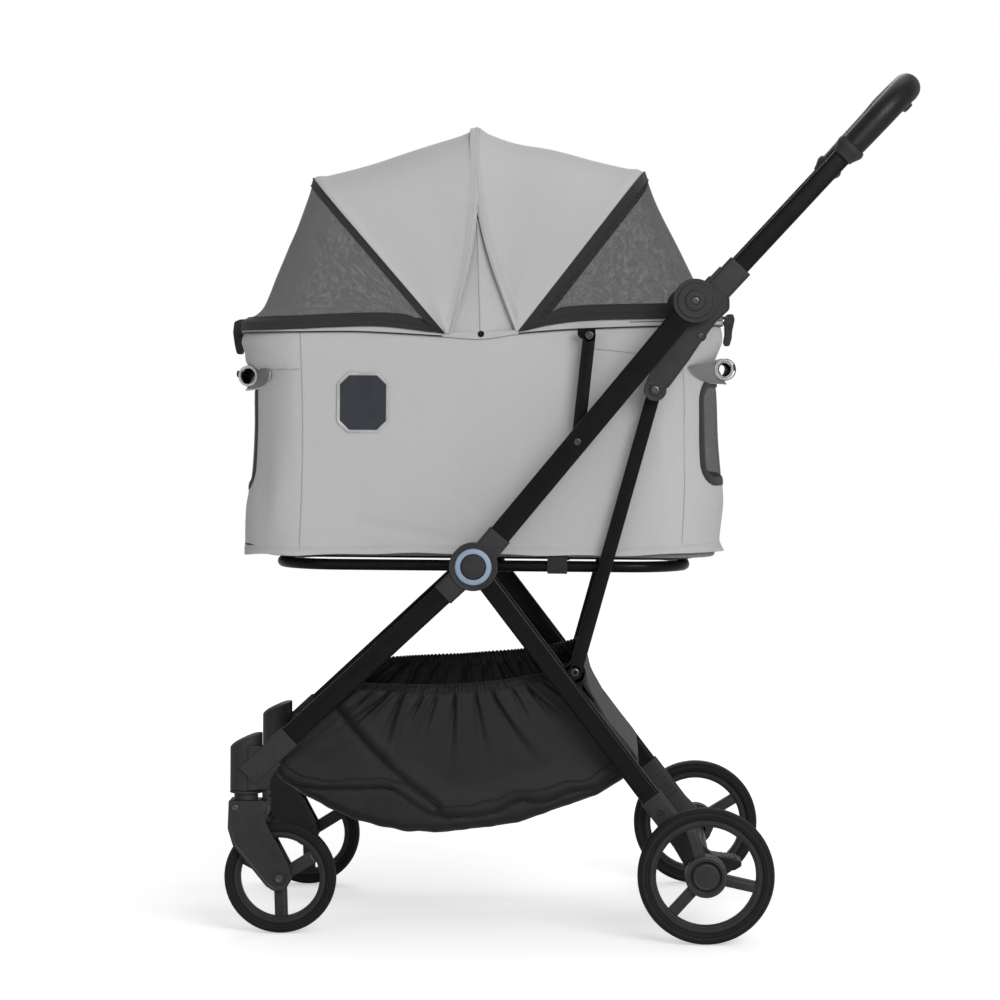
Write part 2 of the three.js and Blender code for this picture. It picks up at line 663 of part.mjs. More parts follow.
add('rear_axle', rod(rearAxle, -(rearLegY + axleSeat), rearLegY + axleSeat, rearAxleRadius),
  blackTube);

const pedalRing = rod(rearAxle, pedalY - pedalRingWidth / 2, pedalY + pedalRingWidth / 2,
  pedalRingRadius, 20);
const onPedal = (x, z) => shifted(rearAxle, { x, z });
const pedalArm = plate(outline([
  onPedal(0, -pedalRingRadius * 0.6), onPedal(pedalReach - 8, -pedalThickness / 2),
  onPedal(pedalReach, -1), onPedal(pedalReach, pedalThickness / 2 - 1),
  onPedal(pedalReach - 10, pedalThickness * 0.75), onPedal(0, pedalRingRadius - 1),
]), pedalY - pedalArmWidth / 2, pedalY + pedalArmWidth / 2);
const pedalBore = rod(rearAxle, pedalY - pedalRingWidth, pedalY + pedalRingWidth,
  rearAxleRadius + gap);
add('brake_pedal', pedalRing.add(pedalArm).subtract(pedalBore), greyPlastic);

// ---------- fold linkage ----------
const linkAngle = angleOf(leverPin, linkFoot);
const leverIn = bracketOut - leverThickness;
for (const { side, word } of sides) {
  const inY = side * linkIn;
  const outY = side * linkOut;
  const bar = plate(outline([
    along(leverPin, linkAngle + 90, linkWidth / 2), along(leverPin, linkAngle - 90, linkWidth / 2),
    along(linkFoot, linkAngle - 90, linkWidth / 2), along(linkFoot, linkAngle + 90, linkWidth / 2),
  ]), inY, outY);
  const link = bar
    .add(rod(leverPin, inY, outY, linkWidth / 2))
    .add(rod(linkFoot, inY, outY, linkWidth / 2))
    .add(rod(leverPin, inY, side * (leverIn - gap), linkPinRadius));
  add(`${word}_drop_link`, link, blackTube);

  const bracketSpan = [side * bracketIn, side * bracketOut];
  const leverSpan = [side * leverIn, side * bracketOut];
  const lever = plate(outline(leverOutline.map((offset) => shifted(hinge, offset))), ...leverSpan);
  const bracket = rod(hinge, ...bracketSpan, hingeRadius - 0.6, 20)
    .add(lever)
    .add(rod(leverPin, ...leverSpan, leverBossRadius))
    .add(strut(hinge, handleAngle, 0, bracketNeck, side * handleY,
      handleTubeWidth + 2 * bracketNeckWall, bracketDepth))
    .add(rod(leverPin, side * (bracketOut - 1), side * (bracketOut + rivetProud), leverRivetRadius))
    .add(rod(rimPin, side * (bracketOut - 1), side * (bracketOut + rivetProud), rimRivetRadius))
    .subtract(rod(hinge, side * (bracketIn - 1), side * (bracketOut + 1), hingePinRadius + gap))
    .subtract(strutSocket(hinge, handleAngle, handleTubeStart - 1, bracketNeck + 2, side * handleY,
      handleTubeWidth, handleTubeDepth));
  add(`${word}_handle_bracket`, bracket, blackPlastic);

  const postAngle = angleOf(postFoot, postHead);
  const postSpan = [side * (postY - postThickness / 2), side * (postY + postThickness / 2)];
  const post = strut(postFoot, postAngle, 0, distanceOf(postFoot, postHead), side * postY,
    postWidth, postThickness)
    .add(rod(postFoot, ...postSpan, postWidth / 2))
    .add(rod(postHead, ...postSpan, postWidth / 2))
    .add(rod(postFoot, side * postY, side * (outerPlaneY - tubeDepth / 2 - gap), postPinRadius));
  add(`${word}_post`, post, blackTube);
}

// ---------- handle ----------
for (const { side, word } of sides) {
  const y = side * handleY;
  add(`${word}_handle_tube`, strut(hinge, handleAngle, handleTubeStart, collarAlong + collarLength, y,
    handleTubeWidth, handleTubeDepth, tubeWall), blackTube);
  const flare = new THREE.CylinderGeometry(collarRadius, collarFoot, collarLength, 16);
  const middle = along(hinge, handleAngle, collarAlong + collarLength / 2);
  flare.rotateZ(radians(handleAngle - 90)).rotateX(Math.PI / 2);
  const collar = toSolid(flare.translate(middle.x, y, middle.z))
    .subtract(strutSocket(hinge, handleAngle, collarAlong - 5, collarAlong + collarLength + 5, y,
      handleTubeWidth, handleTubeDepth));
  add(`${word}_grip_collar`, collar, blackPlastic);
}
const crossbar = along(hinge, handleAngle, handleLength);
const gripPath = archPath(hinge, handleAngle, collarAlong + collarLength + gap, handleLength,
  handleY, gripCorner);
const gripSection = new THREE.Shape().absarc(0, 0, gripRadius, 0, 2 * Math.PI);
const gripTube = new THREE.ExtrudeGeometry(gripSection, {
  steps: 26, curveSegments: 5, bevelEnabled: false, extrudePath: gripPath,
});
const buttonAngle = handleAngle - 90;
const buttonBottom = gripRadius - buttonPocket;
const pocket = strutSocket(crossbar, buttonAngle, buttonBottom, gripRadius + 4, 0,
  buttonWidth, buttonLength);
const button = strut(crossbar, buttonAngle, buttonBottom + buttonTravel + 2 * gap,
  gripRadius + buttonRise, 0, buttonWidth, buttonLength);
add('handle_grip', toSolid(gripTube).subtract(pocket), gripLeather);
add('fold_release', button, greyPlastic);

// ---------- rim, base and cabin ----------
const rimLength = cabinLength - 2 * (wallThickness + rimInset);
const rimCorner = cabinCorner - wallThickness - rimInset;
// Half width of the rim's centre line at x, which narrows round its corners.
function rimHalfAt(x) {
  const past = Math.abs(x - cabinMiddle) - (rimLength / 2 - rimCorner);
  if (past <= 0) return rimHalfWidth;
  return rimHalfWidth - rimCorner + Math.sqrt(Math.max(0, rimCorner ** 2 - past ** 2));
}
let rim = loopTube(rimLength, 2 * rimHalfWidth, rimCorner, cabinMiddle, rimHeight,
  rimTubeRadius);
for (const { side } of sides) {
  const railY = side * rimHalfWidth;
  rim = rim
    .add(rod(rimPin, side * rimHalfAt(rimPin.x), side * (leverIn - gap), rimPinBossRadius))
    .add(rod(postHead, railY, side * (postY - postThickness / 2 - gap), rimEyeRadius))
    .add(block(postHead.x - rimEyeRadius, postHead.x + rimEyeRadius, railY - 3, railY + 3,
      postHead.z - rimEyeRadius, rimHeight))
    .add(rod(bowPivot, railY, side * (bowLayerY(2) + bowStripThickness), bowPinRadius));
}
add('rim_frame', rim, blackTube);

for (const [word, sign] of [['front', -1], ['rear', 1]]) {
  const outer = cabinMiddle + sign * (cabinLength / 2 + clipProud);
  const clipPoint = (inward, lift) => point(outer - sign * inward, rimHeight + lift);
  const tongue = rimTubeRadius + 1;
  const shape = outline([
    clipPoint(0, 6), clipPoint(1, -2), clipPoint(3, -clipDrop + 2), clipPoint(8, -clipDrop),
    clipPoint(clipThickness, -clipDrop + 8), clipPoint(clipThickness, tongue),
    clipPoint(clipReach, tongue), clipPoint(clipReach, tongue + 4), clipPoint(3, tongue + 4),
  ]);
  add(`${word}_clip`, plate(shape, -clipWidth / 2, clipWidth / 2), blackPlastic);
}

const loopHeight = cabinFloor - loopTubeRadius - gap;
add('base_loop', loopTube(loopLength, loopWidth, loopCorner, cabinMiddle, loopHeight,
  loopTubeRadius), blackTube);
const innerLength = cabinLength - 2 * wallThickness;
const innerWidth = cabinWidth - 2 * wallThickness;
add('base_board', slab(cabinMiddle, innerLength - 2 * gap, innerWidth - 2 * gap,
  cabinCorner - wallThickness - gap, cabinFloor, cabinFloor + boardThickness), blackPlastic);
const matBottom = cabinFloor + boardThickness + gap;
add('mat', slab(cabinMiddle, innerLength - 2 * matMargin, innerWidth - 2 * matMargin,
  cabinCorner - wallThickness - matMargin, matBottom, matBottom + matThickness), matFabric);
add('cabin', slab(cabinMiddle, cabinLength, cabinWidth, cabinCorner, cabinFloor,
  rimHeight - wallTopDrop,
  roundedRectangle(innerLength, innerWidth, cabinCorner - wallThickness)), greyFabric);

// ---------- canopy ----------
for (const bow of [rearBow, midBow, frontBow]) {
  const y = bowLayerY(bow.layer);
  const path = archPath(bowPivot, bow.angle, 0, bow.radius, y, bowCorner);
  const half = bowStripThickness / 2;
  const edge = bowStripWidth / 2;
  const section = outline([
    point(-half, -edge), point(half, -edge), point(half, edge), point(-half, edge),
  ]);
  const strip = new THREE.ExtrudeGeometry(section, {
    steps: 24, curveSegments: 1, bevelEnabled: false, extrudePath: path,
  });
  let solid = toSolid(strip);
  for (const { side } of sides) {
    solid = solid.add(rod(bowPivot, side * (y - half), side * (y + half), bowEyeRadius));
    solid = solid.subtract(rod(bowPivot, side * (y - 3), side * (y + 3), bowPinRadius + gap));
  }
  add(bow.name, solid, blackPlastic);
}

const canopyHalf = bowLayerY(2) + bowStripThickness / 2 + gap;
function archRow(degrees, radius, inset, count) {
  const lift = bowStripThickness / 2 + canopySlack + canopyThickness - inset;
  const path = archPath(bowPivot, degrees, canopyStart, radius + lift,
    canopyHalf + canopyThickness - inset, bowCorner - canopyCornerEase);
  return path.getSpacedPoints(count);
}

function rimRow(sign, inset, count) {
  const half = canopyHalf + canopyThickness - inset;
  const reach = cabinLength / 2 - inset;
  const z = rimHeight + canopyFoot;
  const corner = cabinCorner;
  const startX = bowPivot.x + sign * canopyStart;
  const at = (x, y) => new THREE.Vector3(x, y, z);
  const end = cabinMiddle + sign * reach;
  const path = new THREE.CurvePath();
  path.add(new THREE.LineCurve3(at(startX, -half), at(end - sign * corner, -half)));
  path.add(new THREE.QuadraticBezierCurve3(
    at(end - sign * corner, -half), at(end, -half), at(end, -half + corner)));
  path.add(new THREE.LineCurve3(at(end, -half + corner), at(end, half - corner)));
  path.add(new THREE.QuadraticBezierCurve3(
    at(end, half - corner), at(end, half), at(end - sign * corner, half)));
  path.add(new THREE.LineCurve3(at(end - sign * corner, half), at(startX, half)));
  return path.getSpacedPoints(count);
}

function ruled(first, last, steps) {
  const rows = [];
  for (let i = 0; i <= steps; i += 1) {
    rows.push(first.map((p, j) => p.clone().lerp(last[j], i / steps)));
  }
  return rows;
}

function roofPanel(a, b) {
  const layer = (inset) => ruled(archRow(a.angle + seam, a.radius, inset, panelCount),
    archRow(b.angle - seam, b.radius, inset, panelCount), 2);
  return shell(layer(0), layer(canopyThickness));
}

function meshPanel(bow, sign) {
  const layer = (inset) => ruled(archRow(bow.angle - sign * seam, bow.radius, inset, panelCount),
    rimRow(sign, inset, panelCount), 2);
  return shell(layer(0), layer(canopyThickness));
}
add('rear_roof', roofPanel(rearBow, midBow), greyFabric);
add('front_roof', roofPanel(midBow, frontBow), greyFabric);
add('rear_mesh', meshPanel(rearBow, 1), blackMesh);
add('front_mesh', meshPanel(frontBow, -1), blackMesh);

// ---------- storage basket ----------
// Side outline between the legs, smaller by inset all round and open above by lift.
function basketOutline(inset, lift) {
  const frontTop = along(hub, frontLegAngle, basketTopAlong);
  const frontFoot = along(hub, frontLegAngle + basketFrontSplay, basketFootAlong);
  const rearTop = along(hub, rearLegAngle - basketRearSplay, basketRearTopAlong);
  const rearFoot = along(hub, rearLegAngle, basketRearFootAlong);
  const low = point(hub.x - basketLowForward, hub.z - basketDepth + inset);
  const shape = new THREE.Shape();
  shape.moveTo(frontTop.x + inset, frontTop.z + lift);
  shape.lineTo(frontFoot.x + inset, frontFoot.z + inset);
  shape.quadraticCurveTo((frontFoot.x + low.x) / 2, low.z, low.x, low.z);
  shape.quadraticCurveTo((rearFoot.x + low.x) / 2, low.z, rearFoot.x - inset, rearFoot.z + inset);
  shape.lineTo(rearTop.x - inset, rearTop.z + lift);
  return shape;
}
const basketHalf = basketWidth / 2;
const basketInner = basketHalf - basketWall;
const basket = plate(basketOutline(0, 0), -basketHalf, basketHalf)
  .subtract(plate(basketOutline(basketWall, 12), -basketInner, basketInner));
add('storage_basket', basket, blackFabric);

// Origin under the middle of the bounding box, on the floor.
const box = new THREE.Box3().setFromObject(group);
group.position.set(-(box.min.x + box.max.x) / 2, -(box.min.y + box.max.y) / 2, -box.min.z);

export default group;
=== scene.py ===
import json
import math
import random
import bmesh
import bpy
from mathutils import Matrix, Vector, noise


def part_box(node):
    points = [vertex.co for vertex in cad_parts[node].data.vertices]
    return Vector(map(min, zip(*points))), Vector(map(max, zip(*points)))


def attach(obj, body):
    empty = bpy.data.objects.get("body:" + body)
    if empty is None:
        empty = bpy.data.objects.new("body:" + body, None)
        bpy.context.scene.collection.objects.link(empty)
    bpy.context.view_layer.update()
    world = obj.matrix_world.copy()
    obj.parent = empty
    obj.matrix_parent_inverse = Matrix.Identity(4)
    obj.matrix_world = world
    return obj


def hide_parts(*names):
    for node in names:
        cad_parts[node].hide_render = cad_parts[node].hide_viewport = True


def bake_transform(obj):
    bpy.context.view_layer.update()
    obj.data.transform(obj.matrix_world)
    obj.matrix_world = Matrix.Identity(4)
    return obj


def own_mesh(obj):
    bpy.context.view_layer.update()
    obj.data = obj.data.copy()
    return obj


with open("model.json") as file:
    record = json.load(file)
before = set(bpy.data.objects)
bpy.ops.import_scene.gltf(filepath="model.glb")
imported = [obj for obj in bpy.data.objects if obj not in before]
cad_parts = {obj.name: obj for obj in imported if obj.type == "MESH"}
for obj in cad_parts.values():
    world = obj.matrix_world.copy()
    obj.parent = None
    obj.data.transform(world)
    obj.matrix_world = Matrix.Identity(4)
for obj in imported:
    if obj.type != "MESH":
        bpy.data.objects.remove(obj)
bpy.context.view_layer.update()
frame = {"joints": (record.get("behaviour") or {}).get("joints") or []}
random.seed(11)
print("frame loaded")

# ---- key points of the side view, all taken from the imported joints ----
joints = {j["name"]: j for j in frame["joints"]}


def pinOf(jointName):
    x, y, z = joints[jointName]["pos_m"]
    return Vector((x, 0, z))


hub = pinOf("rear_leg_fold")
hinge = pinOf("handle_fold")
leverPin = pinOf("drop_link_swing")
rimPin = pinOf("cabin_tilt")
postFoot = pinOf("post_swing")
bowPivot = pinOf("rear_hoop_fold")
rearAxle = pinOf("left_rear_wheel_spin")
frontAxle = pinOf("left_front_wheel_spin")
casterPin = pinOf("left_caster_swivel")
sides = [(-1, "left"), (1, "right")]
legFoot = Vector((casterPin.x, 0, 0.19))
linkFoot = hub + Vector((0.123, 0, -0.1295))
cabinLow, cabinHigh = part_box("cabin")
cabinMiddle = (cabinLow + cabinHigh) / 2
rimHeight = bowPivot.z
origin = Vector((0, 0, 0))


def angleOf(a, b):
    return math.degrees(math.atan2(b.z - a.z, b.x - a.x))


def along(start, degrees, distance):
    turn = math.radians(degrees)
    return start + Vector((math.cos(turn) * distance, 0, math.sin(turn) * distance))


# The points of an outline moved to a place of the side view.
def around(place, outline):
    return [(place.x + x, place.z + z, *radius) for x, z, *radius in outline]


sideAngle = angleOf(hub, hinge)
legAngle = angleOf(hub, legFoot)
rearAngle = angleOf(hub, rearAxle)
handleAngle = 45.6
# the handle tubes run beside the hinge pin, on a slightly steeper line
stemStart, stemAngle = along(hinge, handleAngle - 90, 0.0115), handleAngle + 1.95
sideLength = (hinge - hub).length
frontLength = (legFoot - hub).length
rearLength = (rearAxle - hub).length


def middleY(node):
    low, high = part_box(node)
    return abs(low.y + high.y) / 2


tubeY = middleY("left_side_tube")
rearLegY = middleY("left_rear_leg")
handleY = middleY("left_handle_tube")
linkY = middleY("left_drop_link")
postY = tubeY - 0.032
casterY = abs(joints["left_caster_swivel"]["pos_m"][1])
rearWheelY = abs(joints["left_rear_wheel_spin"]["pos_m"][1])

# ---- small modelling helpers ----


def smooth(t):
    t = max(0.0, min(1.0, t))
    return t * t * (3 - 2 * t)


def choose(*pieces):
    if bpy.context.mode != "OBJECT":
        bpy.ops.object.mode_set(mode="OBJECT")
    bpy.ops.object.select_all(action="DESELECT")
    for piece in pieces:
        piece.select_set(True)
        bpy.context.view_layer.objects.active = piece


def edit(piece, kind="FACE", action="DESELECT"):
    choose(piece)
    bpy.ops.object.mode_set(mode="EDIT")
    bpy.ops.mesh.select_mode(type=kind)
    bpy.ops.mesh.select_all(action=action)


def grab(piece, test, kind="faces"):
    bpy.ops.mesh.select_all(action="DESELECT")
    mesh = bmesh.from_edit_mesh(piece.data)
    for part in getattr(mesh, kind):
        if test(part):
            part.select_set(True)
    bmesh.update_edit_mesh(piece.data)


# The faces that pass the test are inset, one (inset, rise) step after another.
def insetFaces(piece, test, steps):
    edit(piece)
    grab(piece, test)
    for inset, rise in steps:
        bpy.ops.mesh.inset(thickness=inset, depth=rise)
    return piece


def faceOutwards(piece):
    edit(piece, action="SELECT")
    bpy.ops.mesh.normals_make_consistent(inside=False)
    bpy.ops.object.mode_set(mode="OBJECT")
    return piece


def settle(piece, smooth=32):
    choose(piece)
    bpy.ops.object.transform_apply(location=True, rotation=True, scale=True)
    bpy.ops.object.shade_smooth_by_angle(angle=math.radians(smooth))
    return piece


def refine(piece, kind, **settings):
    choose(piece)
    bpy.ops.object.modifier_add(type=kind)
    modifier = piece.modifiers[-1]
    for label, value in settings.items():
        setattr(modifier, label, value)
    bpy.ops.object.modifier_apply(modifier=modifier.name)
    return piece


def soften(piece, width=0.0006, segments=2, limit=28):
    return refine(piece, "BEVEL", width=width, segments=segments, limit_method="ANGLE",
                  angle_limit=math.radians(limit))


def join(name, pieces):
    choose(*pieces[1:], pieces[0])
    if len(pieces) > 1:
        bpy.ops.object.join()
    piece = bpy.context.view_layer.objects.active
    piece.name = name
    piece.data.name = name
    return piece


def finishPiece(piece, material, slotName, body, *nodes):
    piece.data.materials.clear()
    piece.data.materials.append(material)
    if body:
        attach(piece, body)
    if nodes:
        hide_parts(*nodes)
    return piece


def assemble(name, pieces, material, slotName, body, *nodes):
    return finishPiece(join(name, pieces), material, slotName, body, *nodes)


# Block along the axes, standing at its middle.
def block(place, sizes):
    choose()
    bpy.ops.mesh.primitive_cube_add(size=1, location=place, scale=sizes)
    return settle(bpy.context.object)


# Round piece along Y; the steps at each end are (inset, rise).
def drum(centre, y0, y1, radius, face=(), back=(), count=48):
    choose()
    bpy.ops.mesh.primitive_cylinder_add(
        vertices=count, radius=radius, depth=abs(y1 - y0),
        location=(centre.x, (y0 + y1) / 2, centre.z), rotation=(math.pi / 2, 0, 0))
    piece = bpy.context.object
    bpy.ops.object.transform_apply(location=False, rotation=True, scale=False)
    for end, steps in ((y1, face), (y0, back)):
        sign = 1 if end > (y0 + y1) / 2 else -1
        if steps:
            insetFaces(piece, lambda f: f.normal.y * sign > 0.99, steps)
    return settle(piece)


# Straight bar of the side view, its long edges rounded.
def bar(start, degrees, near, far, y, width, depth, round=0.0, segments=4):
    middle = along(start, degrees, (near + far) / 2)
    choose()
    bpy.ops.mesh.primitive_cube_add(
        size=1, location=(middle.x, y, middle.z), rotation=(0, -math.radians(degrees), 0),
        scale=(far - near, depth, width))
    piece = bpy.context.object
    bpy.ops.object.transform_apply(location=False, rotation=False, scale=True)
    if round:
        edit(piece, "EDGE")
        grab(piece, lambda e: abs((e.verts[0].co - e.verts[1].co).normalized().x) > 0.99, "edges")
        bpy.ops.mesh.bevel(offset=round, segments=segments, affect="EDGES")
        bpy.ops.object.mode_set(mode="OBJECT")
    return piece


# Plastic sleeve around a tube end; its mouth is hollow, so that the tube enters it.
# The lip is (wall, hollow depth); mouth is 1 at the far end of the bar and -1 at the near one.
def sleeveOn(start, degrees, near, far, y, width, depth=0.0196, round=0.0048, segments=5,
             lip=(0.0013, 0.0014), mouth=1, limit=25, edge=0.0005):
    piece = bar(start, degrees, near, far, y, width, depth, round, segments)
    wall, hollow = lip
    insetFaces(piece, lambda f: f.normal.x * mouth > 0.99, [(wall, 0), (0.0002, -hollow)])
    return soften(settle(piece, limit), edge)


# Outline of (x, z) or (x, z, corner radius) points with its corners rounded.
def rounded(points, steps=5):
    outline = []
    count = len(points)
    for i, point in enumerate(points):
        here = Vector(point[:2])
        radius = point[2] if len(point) > 2 else 0
        before = Vector(points[i - 1][:2]) - here
        after = Vector(points[(i + 1) % count][:2]) - here
        if not radius:
            outline.append(here)
            continue
        half = before.angle(after) / 2
        reach = min(radius / math.tan(half), before.length * 0.49, after.length * 0.49)
        a = here + before.normalized() * reach
        b = here + after.normalized() * reach
        for k in range(steps + 1):
            t = k / steps
            outline.append(a.lerp(here, t).lerp(here.lerp(b, t), t))
    return outline


# Solid pulled from a flat outline by the given move.
def pulled(corners, move):
    choose()
    bpy.ops.mesh.primitive_circle_add(vertices=len(corners), radius=1, fill_type="NGON")
    piece = bpy.context.object
    for vertex, corner in zip(piece.data.vertices, corners):
        vertex.co = corner
    edit(piece, action="SELECT")
    bpy.ops.mesh.extrude_region_move(TRANSFORM_OT_translate={"value": move})
    return faceOutwards(piece)


# Flat plate of the side view with the given outline.
def plate(points, y0, y1, steps=5):
    return pulled([(p.x, y0, p.y) for p in rounded(points, steps)], (0, y1 - y0, 0))


# Ring turned about Y from a closed outline of (radius, sideways) points.
def turned(centre, y, profile, steps=72):
    choose()
    bpy.ops.mesh.primitive_circle_add(vertices=len(profile), radius=1, fill_type="NOTHING")
    piece = bpy.context.object
    for vertex, (radius, sideways) in zip(piece.data.vertices, profile):
        vertex.co = (radius, sideways, 0)
    edit(piece, "VERT", "SELECT")
    bpy.ops.mesh.spin(steps=steps, angle=2 * math.pi, center=(0, 0, 0), axis=(0, 1, 0))
    bpy.ops.mesh.select_all(action="SELECT")
    bpy.ops.mesh.remove_doubles(threshold=0.00002)
    faceOutwards(piece)
    piece.location = (centre.x, y, centre.z)
    return settle(piece, 25)


# Ring turned about a direction of the side view.
def turnedAlong(start, degrees, y, profile, steps=64):
    piece = turned(origin, 0, profile, steps)
    direction = along(origin, degrees, 1)
    piece.rotation_euler = direction.to_track_quat("Y", "Z").to_euler()
    piece.location = (start.x, y, start.z)
    return settle(piece, 25)


# Curve through the points; its section is set by the caller.
def curveThrough(points, closed=False):
    choose()
    bpy.ops.curve.primitive_nurbs_path_add()
    curve = bpy.context.object.data
    curve.splines.clear()
    spline = curve.splines.new("POLY")
    spline.points.add(len(points) - 1)
    for place, point in zip(spline.points, points):
        place.co = (*point, 1)
    spline.use_cyclic_u = closed
    return curve


# Round tube whose centre line passes through the points.
def pipe(points, radius, closed=False, sides=6):
    curve = curveThrough(points, closed)
    curve.dimensions = "3D"
    curve.bevel_depth = radius
    curve.bevel_resolution = sides
    curve.use_fill_caps = not closed
    bpy.ops.object.convert(target="MESH")
    return settle(faceOutwards(bpy.context.object), 60)


# ---- camera ----
camera = {"place": (0.0409, -4.3683, 0.6875), "yaw": 0.0297, "pitch": 0.0384, "roll": 0.0077,
          "lens": 124.6}
yaw, pitch, roll = camera["yaw"], camera["pitch"], camera["roll"]
ahead = Vector((-math.sin(yaw) * math.cos(pitch), math.cos(yaw) * math.cos(pitch), -math.sin(pitch)))
level = Vector((math.cos(yaw), math.sin(yaw), 0))
upward = level.cross(ahead)
rightward = level * math.cos(roll) + upward * math.sin(roll)
upright = upward * math.cos(roll) - level * math.sin(roll)
bpy.ops.object.camera_add(location=camera["place"])
viewer = bpy.context.object
viewer.rotation_euler = Matrix((rightward, upright, -ahead)).transposed().to_euler()
viewer.data.lens = camera["lens"]
viewer.data.sensor_width = 36
viewer.data.clip_end = 60
bpy.context.scene.camera = viewer
bpy.context.scene.view_settings.view_transform = "Standard"

# ---- shader node groups that several finishes share ----


def put(tree, kind, **settings):
    node = tree.nodes.new("ShaderNode" + kind)
    for label, value in settings.items():
        setattr(node, label, value)
    return node


# Gives a socket a plain value or the output of another node.
def feed(tree, value, socket):
    if isinstance(value, bpy.types.NodeSocket):
        tree.links.new(value, socket)
    else:
        socket.default_value = value


def fill(tree, node, **values):
    for label, value in values.items():
        feed(tree, value, node.inputs[label.replace("_", " ")])
    return node


def calc(tree, operation, *values):
    node = put(tree, "Math", operation=operation)
    for socket, value in zip(node.inputs, values):
        feed(tree, value, socket)
    return node.outputs[0]


def vectorCalc(tree, operation, a, b=None):
    node = put(tree, "VectorMath", operation=operation)
    feed(tree, a, node.inputs[0])
    if b is not None:
        feed(tree, b, node.inputs["Scale" if operation == "SCALE" else 1])
    return node.outputs["Value" if operation in ("LENGTH", "DOT_PRODUCT") else 0]


def noiseFrom(tree, place, **values):
    return fill(tree, put(tree, "TexNoise"), Vector=place, **values)


def mapped(tree, value, fromMin, fromMax, toMin=0.0, toMax=1.0):
    return fill(tree, put(tree, "MapRange"), Value=value, From_Min=fromMin, From_Max=fromMax,
                To_Min=toMin, To_Max=toMax).outputs["Result"]


# A new group with its input and output sockets, by name.
def nodeGroup(name, inputs, outputs):
    tree = bpy.data.node_groups.new(name, "ShaderNodeTree")
    for label, value in inputs.items():
        kind = "NodeSocketVector" if value is None else "NodeSocketFloat"
        socket = tree.interface.new_socket(name=label, in_out="INPUT", socket_type=kind)
        if value is not None:
            socket.default_value = value
    for label in outputs:
        tree.interface.new_socket(name=label, in_out="OUTPUT", socket_type="NodeSocketFloat")
    return tree, tree.nodes.new("NodeGroupInput").outputs, tree.nodes.new("NodeGroupOutput").inputs


def makeFineGrain():
    tree, ins, outs = nodeGroup("fine grain", {"Place": None, "Size": 0.0006}, ["Height", "Patches"])
    scale = calc(tree, "DIVIDE", 1.0, ins["Size"])
    fine = noiseFrom(tree, ins["Place"], Scale=scale, Detail=3, Roughness=0.6)
    broad = noiseFrom(tree, ins["Place"], Scale=calc(tree, "MULTIPLY", scale, 0.025), Detail=4)
    feed(tree, fine.outputs["Fac"], outs["Height"])
    feed(tree, broad.outputs["Fac"], outs["Patches"])
    return tree


def makeEdgeWear():
    tree, ins, outs = nodeGroup("edge wear", {"Place": None, "Sharpness": 14.0,
                                              "Break up": 160.0}, ["Mask"])
    shape = put(tree, "NewGeometry")
    edge = calc(tree, "MULTIPLY", calc(tree, "SUBTRACT", shape.outputs["Pointiness"], 0.52),
                ins["Sharpness"])
    patches = noiseFrom(tree, ins["Place"], Scale=ins["Break up"], Detail=5)
    rough = calc(tree, "MULTIPLY", edge, calc(tree, "SUBTRACT", patches.outputs["Fac"], 0.2))
    feed(tree, fill(tree, put(tree, "Clamp"), Value=rough).outputs["Result"], outs["Mask"])
    return tree


# plain weave: warp and weft threads take turns on top
def makePlainWeave():
    tree, ins, outs = nodeGroup("plain weave", {"Along": None, "Thread": 0.0008}, ["Height", "Slubs"])
    grown = vectorCalc(tree, "SCALE", ins["Along"], calc(tree, "DIVIDE", 1.0, ins["Thread"]))
    split = fill(tree, put(tree, "SeparateXYZ"), Vector=grown).outputs
    turns = [calc(tree, "SINE", calc(tree, "MULTIPLY", split[axis], math.pi)) for axis in ("X", "Y")]
    warp, weft = [calc(tree, "SUBTRACT", 1.0, calc(tree, "POWER", calc(tree, "ABSOLUTE", turn), 3))
                  for turn in turns]
    onTop = calc(tree, "GREATER_THAN", calc(tree, "MULTIPLY", *turns), 0.0)
    height = calc(tree, "ADD", calc(tree, "MULTIPLY", warp, onTop),
                  calc(tree, "MULTIPLY", weft, calc(tree, "SUBTRACT", 1.0, onTop)))
    feed(tree, height, outs["Height"])
    slubs = []
    for stretch in ((0.03, 0.6, 1), (0.6, 0.03, 1)):
        drawn = vectorCalc(tree, "MULTIPLY", grown, stretch)
        slubs.append(noiseFrom(tree, drawn, Scale=1.0, Detail=2).outputs["Fac"])
    feed(tree, calc(tree, "MULTIPLY", calc(tree, "ADD", *slubs), 0.5), outs["Slubs"])
    return tree


# soft handling creases and a slow change of tone
def makeCreases():
    tree, ins, outs = nodeGroup("cloth creases", {"Place": None, "Scale": 9.0}, ["Height", "Tone"])
    for label, factor, detail, bend in (("Height", 1.0, 3, 1.1), ("Tone", 0.45, 2, 0.3)):
        scale = calc(tree, "MULTIPLY", ins["Scale"], factor)
        cloud = noiseFrom(tree, ins["Place"], Scale=scale, Detail=detail, Distortion=bend)
        feed(tree, cloud.outputs["Fac"], outs[label])
    return tree


